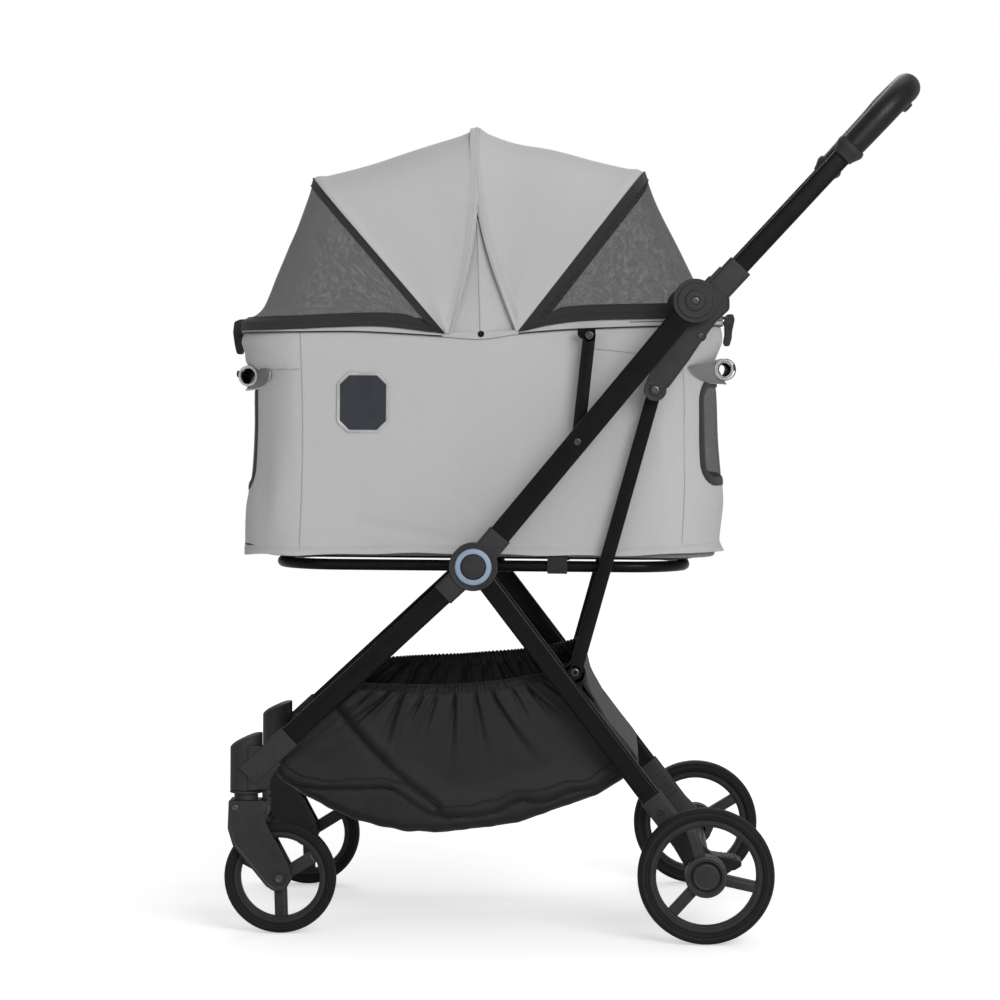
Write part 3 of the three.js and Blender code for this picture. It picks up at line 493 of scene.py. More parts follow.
# round holes in a six-sided net; the mask is 1 on a thread
def makeNet():
    tree, ins, outs = nodeGroup("hole net", {"Along": None, "Pitch": 0.0026, "Hole": 0.3, "Wander": 0.001},
                                ["Thread"])
    # the cloth is never quite even, so the rows of holes wander a little
    drift = noiseFrom(tree, ins["Along"], Scale=60, Detail=1)
    centred = vectorCalc(tree, "SUBTRACT", drift.outputs["Color"], (0.5, 0.5, 0.5))
    moved = vectorCalc(tree, "ADD", ins["Along"], vectorCalc(tree, "SCALE", centred, ins["Wander"]))
    turnRate = calc(tree, "DIVIDE", 2 * math.pi, ins["Pitch"])
    waves = []
    for degrees in (0, 60, 120):
        direction = (math.cos(math.radians(degrees)), math.sin(math.radians(degrees)), 0)
        dot = vectorCalc(tree, "DOT_PRODUCT", moved, direction)
        waves.append(calc(tree, "COSINE", calc(tree, "MULTIPLY", dot, turnRate)))
    total = calc(tree, "ADD", calc(tree, "ADD", waves[0], waves[1]), waves[2])
    low, high = [calc(tree, kind, ins["Hole"], 0.25) for kind in ("SUBTRACT", "ADD")]
    feed(tree, mapped(tree, total, low, high, 1, 0), outs["Thread"])
    return tree


fineGrain = makeFineGrain()
edgeWear = makeEdgeWear()
plainWeave = makePlainWeave()
creases = makeCreases()
holeNet = makeNet()
print("shader groups built")

# ---- finishes ----


# A new material with its shader and the sockets that say where a point is.
def startMaterial(name):
    material = bpy.data.materials.new(name)
    material.use_nodes = True
    tree = material.node_tree
    return material, tree, tree.nodes["Principled BSDF"], put(tree, "TexCoord").outputs


def useGroup(tree, group, **values):
    node = tree.nodes.new("ShaderNodeGroup")
    node.node_tree = group
    return fill(tree, node, **values).outputs


def blendColour(tree, mask, low, high, lowValue=0.0, highValue=1.0):
    mix = put(tree, "Mix", data_type="RGBA")
    feed(tree, mapped(tree, mask, lowValue, highValue), mix.inputs[0])
    for socket, colour in ((mix.inputs[6], low), (mix.inputs[7], high)):
        feed(tree, (*colour, 1) if isinstance(colour, tuple) else colour, socket)
    return mix.outputs[2]


def addBump(tree, shader, height, depth, strength=1.0, before=None):
    bump = fill(tree, put(tree, "Bump"), Distance=depth, Strength=strength, Height=height)
    if before:
        feed(tree, before, bump.inputs["Normal"])
    feed(tree, bump.outputs["Normal"], shader.inputs["Normal"])
    return bump.outputs["Normal"]


# moulded plastic, painted tube, rubber, thread and metal all start from the same grain
def hardFinish(name, colour, dark, worn, roughness, grainSize, grainDepth, metallic=0.0, coat=0.0,
               wear=0.6, specular=0.5):
    material, tree, shader, where = startMaterial(name)
    grain = useGroup(tree, fineGrain, Place=where["Object"], Size=grainSize)
    rubbed = useGroup(tree, edgeWear, Place=where["Object"])
    base = blendColour(tree, grain["Patches"], dark, colour, 0.35, 0.65)
    edges = calc(tree, "MULTIPLY", rubbed["Mask"], wear)
    fill(tree, shader, Base_Color=blendColour(tree, edges, base, worn),
         Roughness=mapped(tree, grain["Patches"], 0.3, 0.7, roughness * 0.88, roughness * 1.12),
         Metallic=metallic, Coat_Weight=coat, Coat_Roughness=0.12, Specular_IOR_Level=specular)
    addBump(tree, shader, grain["Height"], grainDepth)
    return material


blackTube = hardFinish("black powder coat", (0.0056, 0.0056, 0.0061), (0.0042, 0.0042, 0.0047),
                       (0.018, 0.018, 0.0195), 0.3, 0.0007, 0.00003, wear=0.25, coat=0.06, specular=0.08)
blackPlastic = hardFinish("black moulded nylon", (0.025, 0.0252, 0.0275), (0.0195, 0.0196, 0.0215),
                          (0.075, 0.075, 0.08), 0.48, 0.0005, 0.00005, wear=0.5, specular=0.26)
greyPlastic = hardFinish("charcoal moulded plastic", (0.024, 0.024, 0.0268), (0.0185, 0.0185, 0.0205),
                         (0.07, 0.07, 0.075), 0.46, 0.0005, 0.00004, wear=0.5, specular=0.26)
tyreRubber = hardFinish("solid tyre rubber", (0.0135, 0.0135, 0.0145), (0.01, 0.01, 0.011),
                        (0.035, 0.035, 0.036), 0.62, 0.0004, 0.00004, wear=0.4, specular=0.18)
ringBlue = hardFinish("blue grey trim", (0.235, 0.315, 0.4), (0.21, 0.285, 0.37),
                      (0.33, 0.41, 0.5), 0.42, 0.0005, 0.00002, wear=0.3)
screwMetal = hardFinish("dark zinc screws", (0.11, 0.11, 0.115), (0.08, 0.08, 0.085),
                        (0.35, 0.35, 0.36), 0.3, 0.0003, 0.00001, metallic=0.9)
print("hard finishes built")

# ---- shapes that several pieces share ----


def softPlate(points, y0, y1, edge, segments=2):
    return soften(plate(points, y0, y1), edge, segments)


def rectangle(x0, x1, z0, z1):
    return [(x0, z0), (x1, z0), (x1, z1), (x0, z1)]


def uprightDrum(x, y, z, radius, depth, count):
    choose()
    bpy.ops.mesh.primitive_cylinder_add(vertices=count, radius=radius, depth=depth, location=(x, y, z))
    bpy.ops.object.transform_apply(location=True, rotation=False, scale=False)
    return bpy.context.object


def screwHead(centre, y, side, radius, proud):
    head = drum(centre, y - side * 0.0005, y + side * proud, radius,
                [(radius * 0.18, proud * 0.3), (radius * 0.24, 0), (radius * 0.1, -proud * 0.7)], (), 20)
    return soften(head, 0.0002)


# Extruded tube: rounded edges and a fine groove beside the upper edge of each flat face.
def grooved(name, start, degrees, near, far, y, width, size):
    piece = bar(start, degrees, near, far, y, width, size["depth"], size["round"], 5)
    edit(piece)
    top = width / 2 - size["grooveFrom"]
    low = top - size["grooveWide"]
    for level in (top, low):
        bpy.ops.mesh.select_all(action="SELECT")
        bpy.ops.mesh.bisect(plane_co=(0, 0, level), plane_no=(0, 0, 1))
    for sign in (-1, 1):
        insetFaces(piece, lambda f: f.normal.y * sign > 0.99 and low < f.calc_center_median().z < top,
                   [(size["grooveLip"], -size["grooveDeep"])])
    return join(name, [settle(piece, 25)])


# ---- wheels ----
# the steps of the hub and cap faces are (inset, rise)
smallHubFace = [(0.0012, 0.0004), (0.0022, 0), (0.0003, -0.001)]
rearWheel = {
    "radius": 0.082, "tyre": 0.014, "width": 0.024, "rimDepth": 0.0085, "hub": 0.025, "spoke": 0.013,
    "spokes": {"left": (108, -12, -132), "right": (32, 152, -88)}, "cap": 0.0162,
    "face": [(0.0012, 0), (0.0009, 0.0006), (0.0038, 0), (0.0006, -0.0018), (0.0011, 0), (0.0002, -0.002)],
    "back": [(0.004, 0), (0.0004, -0.003), (0.006, 0), (0.0004, 0.002)],
    "capFace": [(0.0011, 0.0009), (0.0016, 0.0004), (0.0004, -0.0004), (0.004, 0.0003), (0.005, 0.0002)]}
frontWheel = {
    "radius": 0.068, "tyre": 0.012, "width": 0.022, "rimDepth": 0.008, "hub": 0.013, "spoke": 0.015,
    "spokes": {"left": (-88, 32, 152), "right": (-88, 32, 152)}, "face": smallHubFace, "back": smallHubFace}


# Whole outline of a ring from the half on one side, in mm from the axle and the middle plane.
def ringOutline(half):
    whole = half + [(radius, -y) for radius, y in reversed(half)]
    return [(radius / 1000, y / 1000) for radius, y in whole]


# tread, shoulders and two ring grooves on each side wall
def tyreProfile(size):
    r, inner, half = size["radius"] * 1000, (size["radius"] - size["tyre"]) * 1000, size["width"] * 500
    return ringOutline([
        (inner, half - 3.2), (inner + 1.2, half - 1.6), (inner + 2.2, half - 0.7),
        (inner + 3.4, half - 0.5),
        (inner + 3.7, half - 1.3), (inner + 4.4, half - 1.3), (inner + 4.8, half - 0.2), (r - 5.2, half),
        (r - 4.9, half - 0.9), (r - 4.3, half - 0.9), (r - 3.9, half - 0.4), (r - 2.4, half - 1.6),
        (r - 1.1, half - 3.4), (r - 0.35, half - 5.8), (r, half - 8.6)])


# rim with a stepped edge; it reaches a little into the tyre
def rimProfile(size):
    outer = (size["radius"] - size["tyre"]) * 1000 + 0.2
    inner = outer - size["rimDepth"] * 1000
    half = size["width"] * 500
    return ringOutline([
        (inner, half - 4.6), (inner + 0.7, half - 3.6), (inner + 2.4, half - 3.3),
        (inner + 3.2, half - 2.2),
        (outer - 2.0, half - 2.0), (outer - 1.4, half - 2.6), (outer - 0.6, half - 2.6),
        (outer, half - 3.6)])


def spokeArm(centre, y, degrees, near, far, size):
    arm = bar(centre, degrees, near, far, y, size["spoke"], size["width"] - 0.009)
    for sign in (-1, 1):
        insetFaces(arm, lambda f: f.normal.y * sign > 0.9, [(0.0028, 0), (0.0007, 0.0011)])
    return soften(settle(arm), 0.0007)


def wheelParts(centre, y, side, word, size):
    parts = [turned(centre, y, rimProfile(size))]
    reach = size["radius"] - size["tyre"] - size["rimDepth"] + 0.0012
    for degrees in size["spokes"][word]:
        parts.append(spokeArm(centre, y, degrees, size["hub"] * 0.7, reach, size))
    outer = side * (size["width"] / 2 + 0.0008)
    middle = drum(centre, y - outer, y + outer, size["hub"], size["face"], size["back"], 64)
    return [*parts, soften(middle, 0.0006)]


for side, word in sides:
    for end, size, axle, y in (("rear", rearWheel, rearAxle, side * rearWheelY),
                               ("front", frontWheel, frontAxle, side * casterY)):
        body = "%s_%s_roller" % (word, end)
        assemble("%s_tyre_rubber_%s" % (end, word), [turned(axle, y, tyreProfile(size), 96)],
                 tyreRubber, "tyre", body, "%s_%s_tyre" % (word, end))
        assemble("%s_spoked_wheel_%s" % (end, word), wheelParts(axle, y, side, word, size),
                 greyPlastic, "grey_plastic", body, "%s_%s_wheel" % (word, end))
        if end == "rear":
            face = y + side * size["width"] / 2
            cap = drum(axle, face - side * 0.0024, face + side * 0.0014, size["cap"],
                       size["capFace"], (), 64)
            assemble("rear_wheel_cap_" + word, [soften(cap, 0.0004)], blackPlastic, "black_plastic", body,
                     word + "_hub_cap")
print("wheels made")

# ---- casters ----
casterSize = {
    "bodyRadius": 0.0195, "bodyBottom": 0.174, "bodyTop": 0.234, "slope": 25, "bladeIn": 0.013,
    "bladeOut": 0.019, "crownLow": 0.144, "crownHigh": 0.162, "crownHalf": 0.0185, "slotDeep": 0.009,
    "edge": 0.028, "front": 0.0195, "sleeveLength": 0.074, "lockWidth": 0.012, "lockDepth": 0.007,
    "guideTop": 0.194, "crossAlong": 0.036, "ringHeight": 0.1718}
casterX = casterPin.x
casterEdge = casterX + casterSize["edge"]


# Fork: two blades, a crown block with a slot for the lock, stem and axle.
def makeFork(y, side, word):
    size = casterSize
    fx, fz = frontAxle.x, frontAxle.z
    low, high, half = size["crownLow"], size["crownHigh"], size["crownHalf"]
    bladeShape = [(casterX - 0.0195, high), (casterX - 0.0205, low - 0.016, 0.012),
                  (casterX - 0.014, low - 0.037, 0.012), (fx - 0.034, fz + 0.013, 0.02),
                  (fx - 0.016, fz - 0.009, 0.012), (fx - 0.0065, fz - 0.0155, 0.009),
                  (fx + 0.009, fz - 0.013, 0.01), (fx + 0.0148, fz + 0.001, 0.01),
                  (fx + 0.0125, fz + 0.013, 0.012), (casterEdge - 0.004, low - 0.006, 0.012),
                  (casterEdge, low + 0.002, 0.009), (casterEdge, high)]
    parts = []
    for sign in (-1, 1):
        blade = plate(bladeShape, y + sign * size["bladeIn"], y + sign * size["bladeOut"], 6)
        insetFaces(blade, lambda f: f.normal.y * sign > 0.9, [(0.0028, 0), (0.001, -0.0006)])
        parts.append(soften(settle(blade), 0.0011, 3))
        parts.append(screwHead(frontAxle, y + sign * size["bladeOut"], sign, 0.0066, 0.0014))
    slotBack = casterEdge - size["slotDeep"]
    slotHalf = size["lockWidth"] / 2 + 0.001
    cheekEdge = casterEdge - 0.0008
    parts.append(softPlate(rectangle(casterX - size["front"], slotBack, low, high), y - half, y + half,
                           0.0015, 3))
    for sign in (-1, 1):
        parts.append(softPlate([(slotBack - 0.001, low), (cheekEdge, low + 0.001, 0.003),
                                (cheekEdge, high, 0.001), (slotBack - 0.001, high)],
                               y + sign * slotHalf, y + sign * half, 0.0008))
    parts.append(plate(rectangle(slotBack - 0.001, casterEdge - 0.001, low, high - 0.0072),
                       y - slotHalf, y + slotHalf))
    boss = uprightDrum(casterX, y, 0.1672, 0.0145, 0.012, 40)
    insetFaces(boss, lambda f: f.normal.z > 0.9, [(0.0085, 0)])
    bpy.ops.mesh.extrude_region_move(TRANSFORM_OT_translate={"value": (0, 0, 0.03)})
    parts.append(settle(boss))
    parts.append(drum(frontAxle, y - 0.0135, y + 0.0135, 0.0055, (), (), 24))
    assemble("caster_fork_arms_" + word, parts, blackPlastic, "black_plastic", word + "_caster",
             word + "_caster_fork")
    crownBolt = Vector((casterX - 0.0115, 0, high - 0.0085))
    assemble("caster_bolts_" + word, [
        screwHead(frontAxle, y + side * (size["bladeOut"] + 0.0006), side, 0.0046, 0.001),
        screwHead(crownBolt, y + side * (size["bladeOut"] - 0.0003), side, 0.0036, 0.0011)],
        screwMetal, "black_plastic", word + "_caster")


# Housing: upright barrel with a domed slanted top, sleeve for the leg, and the guide of the lock.
def makeCasterHousing(y, side, word):
    size = casterSize
    barrel = uprightDrum(casterX, y, size["bodyBottom"] + 0.045, size["bodyRadius"], 0.09, 72)
    edit(barrel, action="SELECT")
    slope = math.radians(size["slope"])
    bpy.ops.mesh.bisect(plane_co=(casterX, y, size["bodyTop"]),
                        plane_no=(-math.sin(slope), 0, math.cos(slope)),
                        clear_outer=True, use_fill=True)
    insetFaces(barrel, lambda f: f.normal.z > 0.5,
               [(0.0008, 0.0009), (0.0016, 0.001), (0.003, 0.0011), (0.004, 0.0008), (0.005, 0.0004)])
    insetFaces(barrel, lambda f: f.normal.z < -0.9, [(0.0022, 0), (0.0002, -0.003)])
    parts = [soften(settle(barrel, 40), 0.0005, 2, 40)]
    parts.append(sleeveOn(legFoot, legAngle + 180, 0.004, size["sleeveLength"], side * tubeY, 0.0286,
                          round=0.0035, segments=4, lip=(0.0014, 0.0012), limit=32))
    web = [(0.004, 0.1745), (0.026, 0.1765, 0.004), (0.031, 0.1895, 0.006), (0.044, 0.207),
           (0.016, 0.229, 0.01),
           (0.004, 0.229)]
    parts.append(softPlate(around(Vector((casterX, 0, 0)), web), side * (tubeY - 0.0096),
                           side * (tubeY + 0.0078), 0.0016, 3))
    front, top = casterEdge - 0.001 - size["lockDepth"] - 0.006, size["guideTop"]
    for sign in (-1, 1):
        parts.append(softPlate([(front, 0.1742), (casterEdge, 0.1742, 0.001), (casterEdge, top, 0.002),
                                (front, top)], y + sign * 0.0064, y + sign * 0.01, 0.0005))
    parts.append(softPlate(rectangle(front, casterEdge, 0.1902, top), y - 0.0099, y + 0.0099, 0.0006))
    parts.append(plate(rectangle(front, front + 0.0055, 0.1745, 0.1935), y - 0.0098, y + 0.0098))
    cup = drum(along(legFoot, legAngle + 180, size["crossAlong"]), side * (tubeY - 0.0218),
               side * (tubeY - 0.009), 0.011, (), [(0.0026, 0), (0.0002, -0.006)], 32)
    parts.append(soften(cup, 0.0005))
    assemble("caster_barrel_" + word, parts, blackPlastic, "black_plastic", "chassis",
             word + "_caster_housing")


# Dust ring between the barrel and the crown, and the slide that locks the swivel.
def makeSwivelLock(y, word):
    ring = turned(origin, 0, [(0.0158, -0.0015), (0.0192, -0.0015), (0.0198, -0.0008), (0.0198, 0.0008),
                              (0.0192, 0.0015), (0.0158, 0.0015)], 72)
    ring.rotation_euler = (math.pi / 2, 0, 0)
    ring.location = (casterX, y, casterSize["ringHeight"])
    assemble("swivel_dust_ring_" + word, [settle(ring)], blackPlastic, "black_plastic", "chassis")
    back, deep = casterEdge - 0.001, casterSize["lockDepth"]
    half = casterSize["lockWidth"] / 2
    lock = plate([(back - deep, 0.1624), (back, 0.1624, 0.0008), (back, 0.1665, 0.0012),
                  (back + 0.0022, 0.1685, 0.001), (back + 0.0022, 0.1728, 0.0012), (back, 0.1742, 0.0008),
                  (back, 0.182), (back - deep, 0.182)], y - half, y + half)
    assemble("swivel_lock_slide_" + word, [settle(soften(lock, 0.0005))], greyPlastic, "grey_plastic",
             word + "_lock", word + "_swivel_lock")


for side, word in sides:
    makeFork(side * casterY, side, word)
    makeCasterHousing(side * casterY, side, word)
    makeSwivelLock(side * casterY, word)
print("casters made")

# ---- side frames ----
tubeSize = {
    "sideWidth": 0.027, "frontWidth": 0.025, "rearWidth": 0.0248, "depth": 0.016, "round": 0.0044,
    "grooveFrom": 0.005, "grooveWide": 0.0011, "grooveDeep": 0.0007, "grooveLip": 0.00015, "start": 0.03,
    "crossRadius": 0.008}

for side, word in sides:
    for name, angle, far, width, node in (
            ("side_tube_painted_", sideAngle, sideLength - tubeSize["start"], "sideWidth", "_side_tube"),
            ("front_leg_painted_", legAngle, frontLength - 0.032, "frontWidth", "_front_leg")):
        tube = grooved(name + word, hub, angle, tubeSize["start"], far, side * tubeY,
                       tubeSize[width], tubeSize)
        finishPiece(tube, blackTube, "black_tube", "chassis", word + node)
crossHalf = tubeY - 0.0118
assemble("front_cross_tube_painted", [drum(along(legFoot, legAngle + 180,
                                                 casterSize["crossAlong"]), -crossHalf,
                                           crossHalf, tubeSize["crossRadius"], (), (), 32)],
         blackTube, "black_tube", "chassis", "front_cross_tube")

# ---- hubs and handle hinges ----
hubSize = {
    "radius": 0.029, "faceProud": 0.002, "sleeve": 0.05, "sleeveWall": 0.0018, "spacer": 0.019,
    "pin": 0.008, "pinHead": 0.013, "ringIn": 0.0156, "ringOut": 0.0221,
    "face": [(0.0008, 0), (0.0016, 0.0), (0.0009, -0.0007), (0.0031, 0), (0.0002, -0.0022), (0.0074, 0),
        (0.0002, 0.0018), (0.0012, 0.0002), (0.006, 0)],
    "pinFace": [(0.002, 0.0003), (0.004, 0), (0.0005, -0.0006)]}
hingeSize = {
    "radius": 0.0264, "neck": 0.05, "neckThick": 0.0158, "pin": 0.0072, "pinHead": 0.011,
    "face": [(0.0052, 0), (0.0002, 0.002), (0.009, 0), (0.0002, 0.002), (0.0064, 0.0002),
        (0.0006, -0.0014)], "pinFace": [(0.0015, 0.0003), (0.004, 0), (0.0005, -0.0007)]}
inFace, outFace = tubeY - 0.0098, tubeY + 0.0098


# Hub: disc, sleeves of both tubes, spacer, and the pin of the rear leg with its flat head.
def makeHub(side, word, size):
    disc = drum(hub, side * inFace, side * (outFace + size["faceProud"]), size["radius"], size["face"], (),
                96)
    parts = [soften(disc, 0.0005, 3)]
    for angle, width in ((sideAngle, "sideWidth"), (legAngle, "frontWidth")):
        parts.append(sleeveOn(hub, angle, 0.004, size["sleeve"], side * tubeY,
                              tubeSize[width] + 2 * size["sleeveWall"]))
    far, near = side * (rearLegY + 0.0084), side * (rearLegY - 0.0084)
    parts.append(soften(drum(hub, side * inFace, far, size["spacer"]), 0.0006))
    parts.append(drum(hub, side * inFace, near, size["pin"], (), (), 32))
    head = drum(hub, near, side * (rearLegY - 0.01), size["pinHead"], size["pinFace"], (), 32)
    assemble("hub_housing_" + word, [*parts, soften(head, 0.0003)], blackPlastic, "black_plastic",
             "chassis", word + "_hub")
    inner, outer = size["ringIn"], size["ringOut"]
    ring = turned(hub, side * (outFace + 0.0004), [
        (inner, -0.0004), (inner, side * 0.0019), (inner + 0.0005, side * 0.0025),
        (outer - 0.0022, side * 0.0026), (outer - 0.0008, side * 0.0021), (outer, side * 0.001),
        (outer, -0.0004)], 96)
    assemble("hub_trim_ring_" + word, [ring], ringBlue, "hub_ring_blue", "chassis", word + "_hub_ring")


# Hinge of the handle: stepped disc, painted neck, and the pin of the bracket with its flat head.
def makeHinge(side, word, size):
    disc = drum(hinge, side * inFace, side * outFace, size["radius"], size["face"], (), 96)
    parts = [soften(disc, 0.0008, 3)]
    neck = bar(hinge, sideAngle + 180, 0.004, size["neck"], side * tubeY, tubeSize["sideWidth"] - 0.0002,
               size["neckThick"], 0.0048, 5)
    assemble("hinge_neck_painted_" + word, [settle(neck, 25)], blackTube, "black_tube", "chassis")
    parts.append(drum(hinge, side * inFace, side * (handleY - 0.0086), size["pin"], (), (), 32))
    head = drum(hinge, side * (handleY - 0.0087), side * (handleY - 0.0103), size["pinHead"],
                size["pinFace"], (), 32)
    assemble("hinge_housing_shell_" + word, [*parts, soften(head, 0.0003)], blackPlastic, "black_plastic",
             "chassis", word + "_hinge_housing")
    assemble("hinge_bolt_" + word, [screwHead(hinge, side * (outFace + 0.0028), side, 0.0043, 0.0012)],
             screwMetal, "black_plastic", "chassis")
    assemble("post_rivet_" + word, [screwHead(postFoot, side * (tubeY + 0.0077), side, 0.0042, 0.0014)],
             screwMetal, "black_tube", "chassis")


for side, word in sides:
    makeHub(side, word, hubSize)
    makeHinge(side, word, hingeSize)
print("side frames made")

# ---- rear legs, axle and brake pedal ----
rearSize = {
    "eye": 0.018, "start": 0.0105, "footGap": 0.034, "sleeve": 0.108, "sleeveWide": 0.0284, "barrel": 0.02,
    "barrelEnd": 0.015, "lug": 0.013, "lugThick": 0.0045, "half": 0.008, "ribs": 5, "ribPitch": 0.0078,
    "ribWide": 0.0022, "ribStart": 0.088, "axle": 0.0089}
eyeSteps = [(0.003, 0), (0.0004, -0.0005)]
lowY, highY = rearLegY - rearSize["half"], rearLegY + rearSize["half"]


# Rear leg with its eye at the hub and the lug that takes the drop link.
def makeRearLeg(side, word):
    size = rearSize
    leg = grooved("leg", hub, rearAngle, size["start"], rearLength - size["footGap"], side * rearLegY,
                  tubeSize["rearWidth"], tubeSize)
    eye = drum(hub, side * lowY, side * highY, size["eye"], eyeSteps, eyeSteps, 56)
    foot = (linkFoot - hub).length
    corners = [along(hub, rearAngle, foot - 0.016), along(hub, rearAngle, foot + 0.028),
               along(linkFoot, rearAngle + 50, 0.0128), along(linkFoot, rearAngle + 180, 0.0112)]
    spanY = side * lowY, side * (lowY + size["lugThick"])
    lug = plate([(c.x, c.z, 0.004) for c in corners], *spanY)
    lugEye = drum(linkFoot, *spanY, size["lug"], [(0.005, 0), (0.0006, 0.0012)], (), 40)
    assemble("rear_leg_painted_" + word,
             [leg, soften(eye, 0.0007), soften(lug, 0.0006), soften(lugEye, 0.0005)],
             blackTube, "black_tube", "rear_legs", word + "_rear_leg")
    rivet = screwHead(linkFoot, side * (lowY + size["lugThick"] + 0.0008), side, 0.0048, 0.0014)
    assemble("link_rivet_" + word, [rivet], screwMetal, "black_tube", "rear_legs")


# Sleeve, barrel and stub axle at the foot of the rear leg.
def makeAxleHousing(side, word):
    size = rearSize
    parts = [sleeveOn(hub, rearAngle, rearLength - size["sleeve"], rearLength - 0.004, side * rearLegY,
                      size["sleeveWide"], round=0.0036, segments=4, lip=(0.0014, 0.0014), mouth=-1)]
    end = rearWheelY - size["barrelEnd"]
    barrel = drum(rearAxle, side * (lowY - 0.002), side * end, size["barrel"],
                  [(0.003, 0), (0.0012, -0.0012), (0.006, 0), (0.0004, 0.0018)],
                  [(0.0088, 0), (0.0002, -0.012)], 64)
    parts.append(soften(barrel, 0.0007))
    parts.append(drum(rearAxle, side * (end - 0.002), side * (rearWheelY + 0.0078), 0.0054, (), (), 32))
    top, foot = along(hub, rearAngle, rearLength - 0.048), along(hub, rearAngle, rearLength)
    for turn in (rearAngle - 90, rearAngle + 90):
        corners = [along(top, turn, 0.0135), along(foot, turn, 0.0192), along(foot, turn, 0.004),
                   along(top, turn, 0.004)]
        parts.append(softPlate([(c.x, c.z) for c in corners], side * (lowY - 0.0012),
                               side * (highY + 0.0012), 0.0012))
    # ribbed pocket on the inner face
    for row in range(size["ribs"]):
        near = rearLength - size["ribStart"] + row * size["ribPitch"]
        rib = bar(hub, rearAngle, near, near + size["ribWide"], side * (lowY - 0.0022), 0.021, 0.0014)
        parts.append(soften(settle(rib), 0.0003))
    assemble("axle_housing_shell_" + word, parts, blackPlastic, "black_plastic", "rear_legs",
             word + "_axle_housing")
    spot = along(hub, rearAngle, rearLength - size["ribStart"])
    assemble("axle_housing_rivet_" + word, [screwHead(spot, side * (highY + 0.0016), side, 0.0046, 0.0014)],
             blackPlastic, "black_plastic", "rear_legs")


for side, word in sides:
    makeRearLeg(side, word)
    makeAxleHousing(side, word)
axleHalf = rearLegY + 0.0016
assemble("rear_axle_painted", [soften(drum(rearAxle, -axleHalf, axleHalf, rearSize["axle"], (),
                                           (), 40), 0.0005)],
         blackTube, "black_tube", "rear_legs", "rear_axle")

# the arm's outline is measured from the rear axle
pedalSize = {
    "y": -0.139, "ringWide": 0.054, "ring": 0.015, "armWide": 0.042, "reach": 0.046,
    "ringSteps": [(0.0018, 0), (0.0038, 0.0), (0.0002, -0.003)],
    "arm": [(0, -0.009), (0.038, -0.006, 0.004), (0.046, -0.001, 0.003), (0.046, 0.005, 0.003),
        (0.036, 0.0088, 0.008), (0, 0.0138, 0.004)], "ribs": 5, "ribStart": 0.0225, "ribPitch": 0.0042,
    "rib": (0.0018, 0.034, 0.0022)}


def makePedal(size):
    y, ringHalf, armHalf = size["y"], size["ringWide"] / 2, size["armWide"] / 2
    ring = drum(rearAxle, y - ringHalf, y + ringHalf, size["ring"], size["ringSteps"],
                size["ringSteps"], 56)
    parts = [soften(ring, 0.0006)]
    parts.append(softPlate(around(rearAxle, size["arm"]), y - armHalf, y + armHalf, 0.0016, 3))
    for row in range(size["ribs"]):
        x = size["ribStart"] + row * size["ribPitch"]
        z = 0.0138 - 0.005 * x / (size["reach"] - 0.01)
        parts.append(soften(block((rearAxle.x + x, y, rearAxle.z + z), size["rib"]), 0.0005))
    assemble("brake_pedal_moulding", parts, greyPlastic, "grey_plastic", "pedal", "brake_pedal")


makePedal(pedalSize)
print("rear legs and brake made")

# ---- fold linkage ----
linkSize = {"wide": 0.0168, "half": 0.0047, "eye": 0.0087, "pin": 0.0078,
            "eyeSteps": [(0.0022, 0), (0.0004, -0.0004)]}
bracketSize = {
    "half": 0.0085, "disc": 0.0257, "lever": 0.013, "boss": 0.0136,
    # outline of the lever, measured from the hinge: x, z, corner radius
    "outline": [(-0.059, -0.1, 0.006), (-0.024, -0.02, 0.01), (0.024, 0.02, 0.004), (0.0415, 0.0058, 0.009),
        (0.0418, -0.01, 0.009), (0.0262, -0.0245, 0.01), (0.0048, -0.054, 0.02), (-0.007, -0.072, 0.02),
        (-0.0322, -0.1065, 0.008)],
    "bossSteps": [(0.0022, 0), (0.0006, -0.0006), (0.0038, 0), (0.0005, 0.001)], "socket": (0.006, 0.0688),
    "socketWide": 0.0318, "rib": (0.024, 0.05)}
postSize = {
    "wide": 0.0154, "half": 0.0019, "eye": 0.0077, "pastHead": 0.0133, "foot": 0.0068,
    # outline of the head bracket, measured from the head of the strip
    "tab": [(-0.0145, 0.0085, 0.001), (-0.014, -0.001, 0.004), (-0.004, -0.008, 0.003), (0.007, -0.008),
        (0.0075, 0.0085, 0.001)]}
bracketIn, bracketOut = handleY - bracketSize["half"], handleY + bracketSize["half"]
leverIn = bracketOut - bracketSize["lever"]
postHead = Vector((postFoot.x + 0.0115, 0, rimHeight - 0.014))


# Drop link: flat bar with round eyes, and the pin that the lever holds.
def makeLink(side, word, size):
    span = (linkFoot - leverPin).length
    link = bar(leverPin, angleOf(leverPin, linkFoot), 0, span, side * linkY, size["wide"],
               size["half"] * 2, 0.003, 4)
    settle(link, 25)
    near, far = side * (linkY - size["half"]), side * (linkY + size["half"])
    eyes = [soften(drum(spot, near, far, size["eye"], size["eyeSteps"], size["eyeSteps"], 40), 0.0004)
            for spot in (leverPin, linkFoot)]
    pin = drum(leverPin, side * linkY, side * (leverIn - 0.0005), size["pin"], (), (), 32)
    assemble("drop_link_painted_" + word, [link, *eyes, pin], blackTube, "black_tube", "drop_links",
             word + "_drop_link")


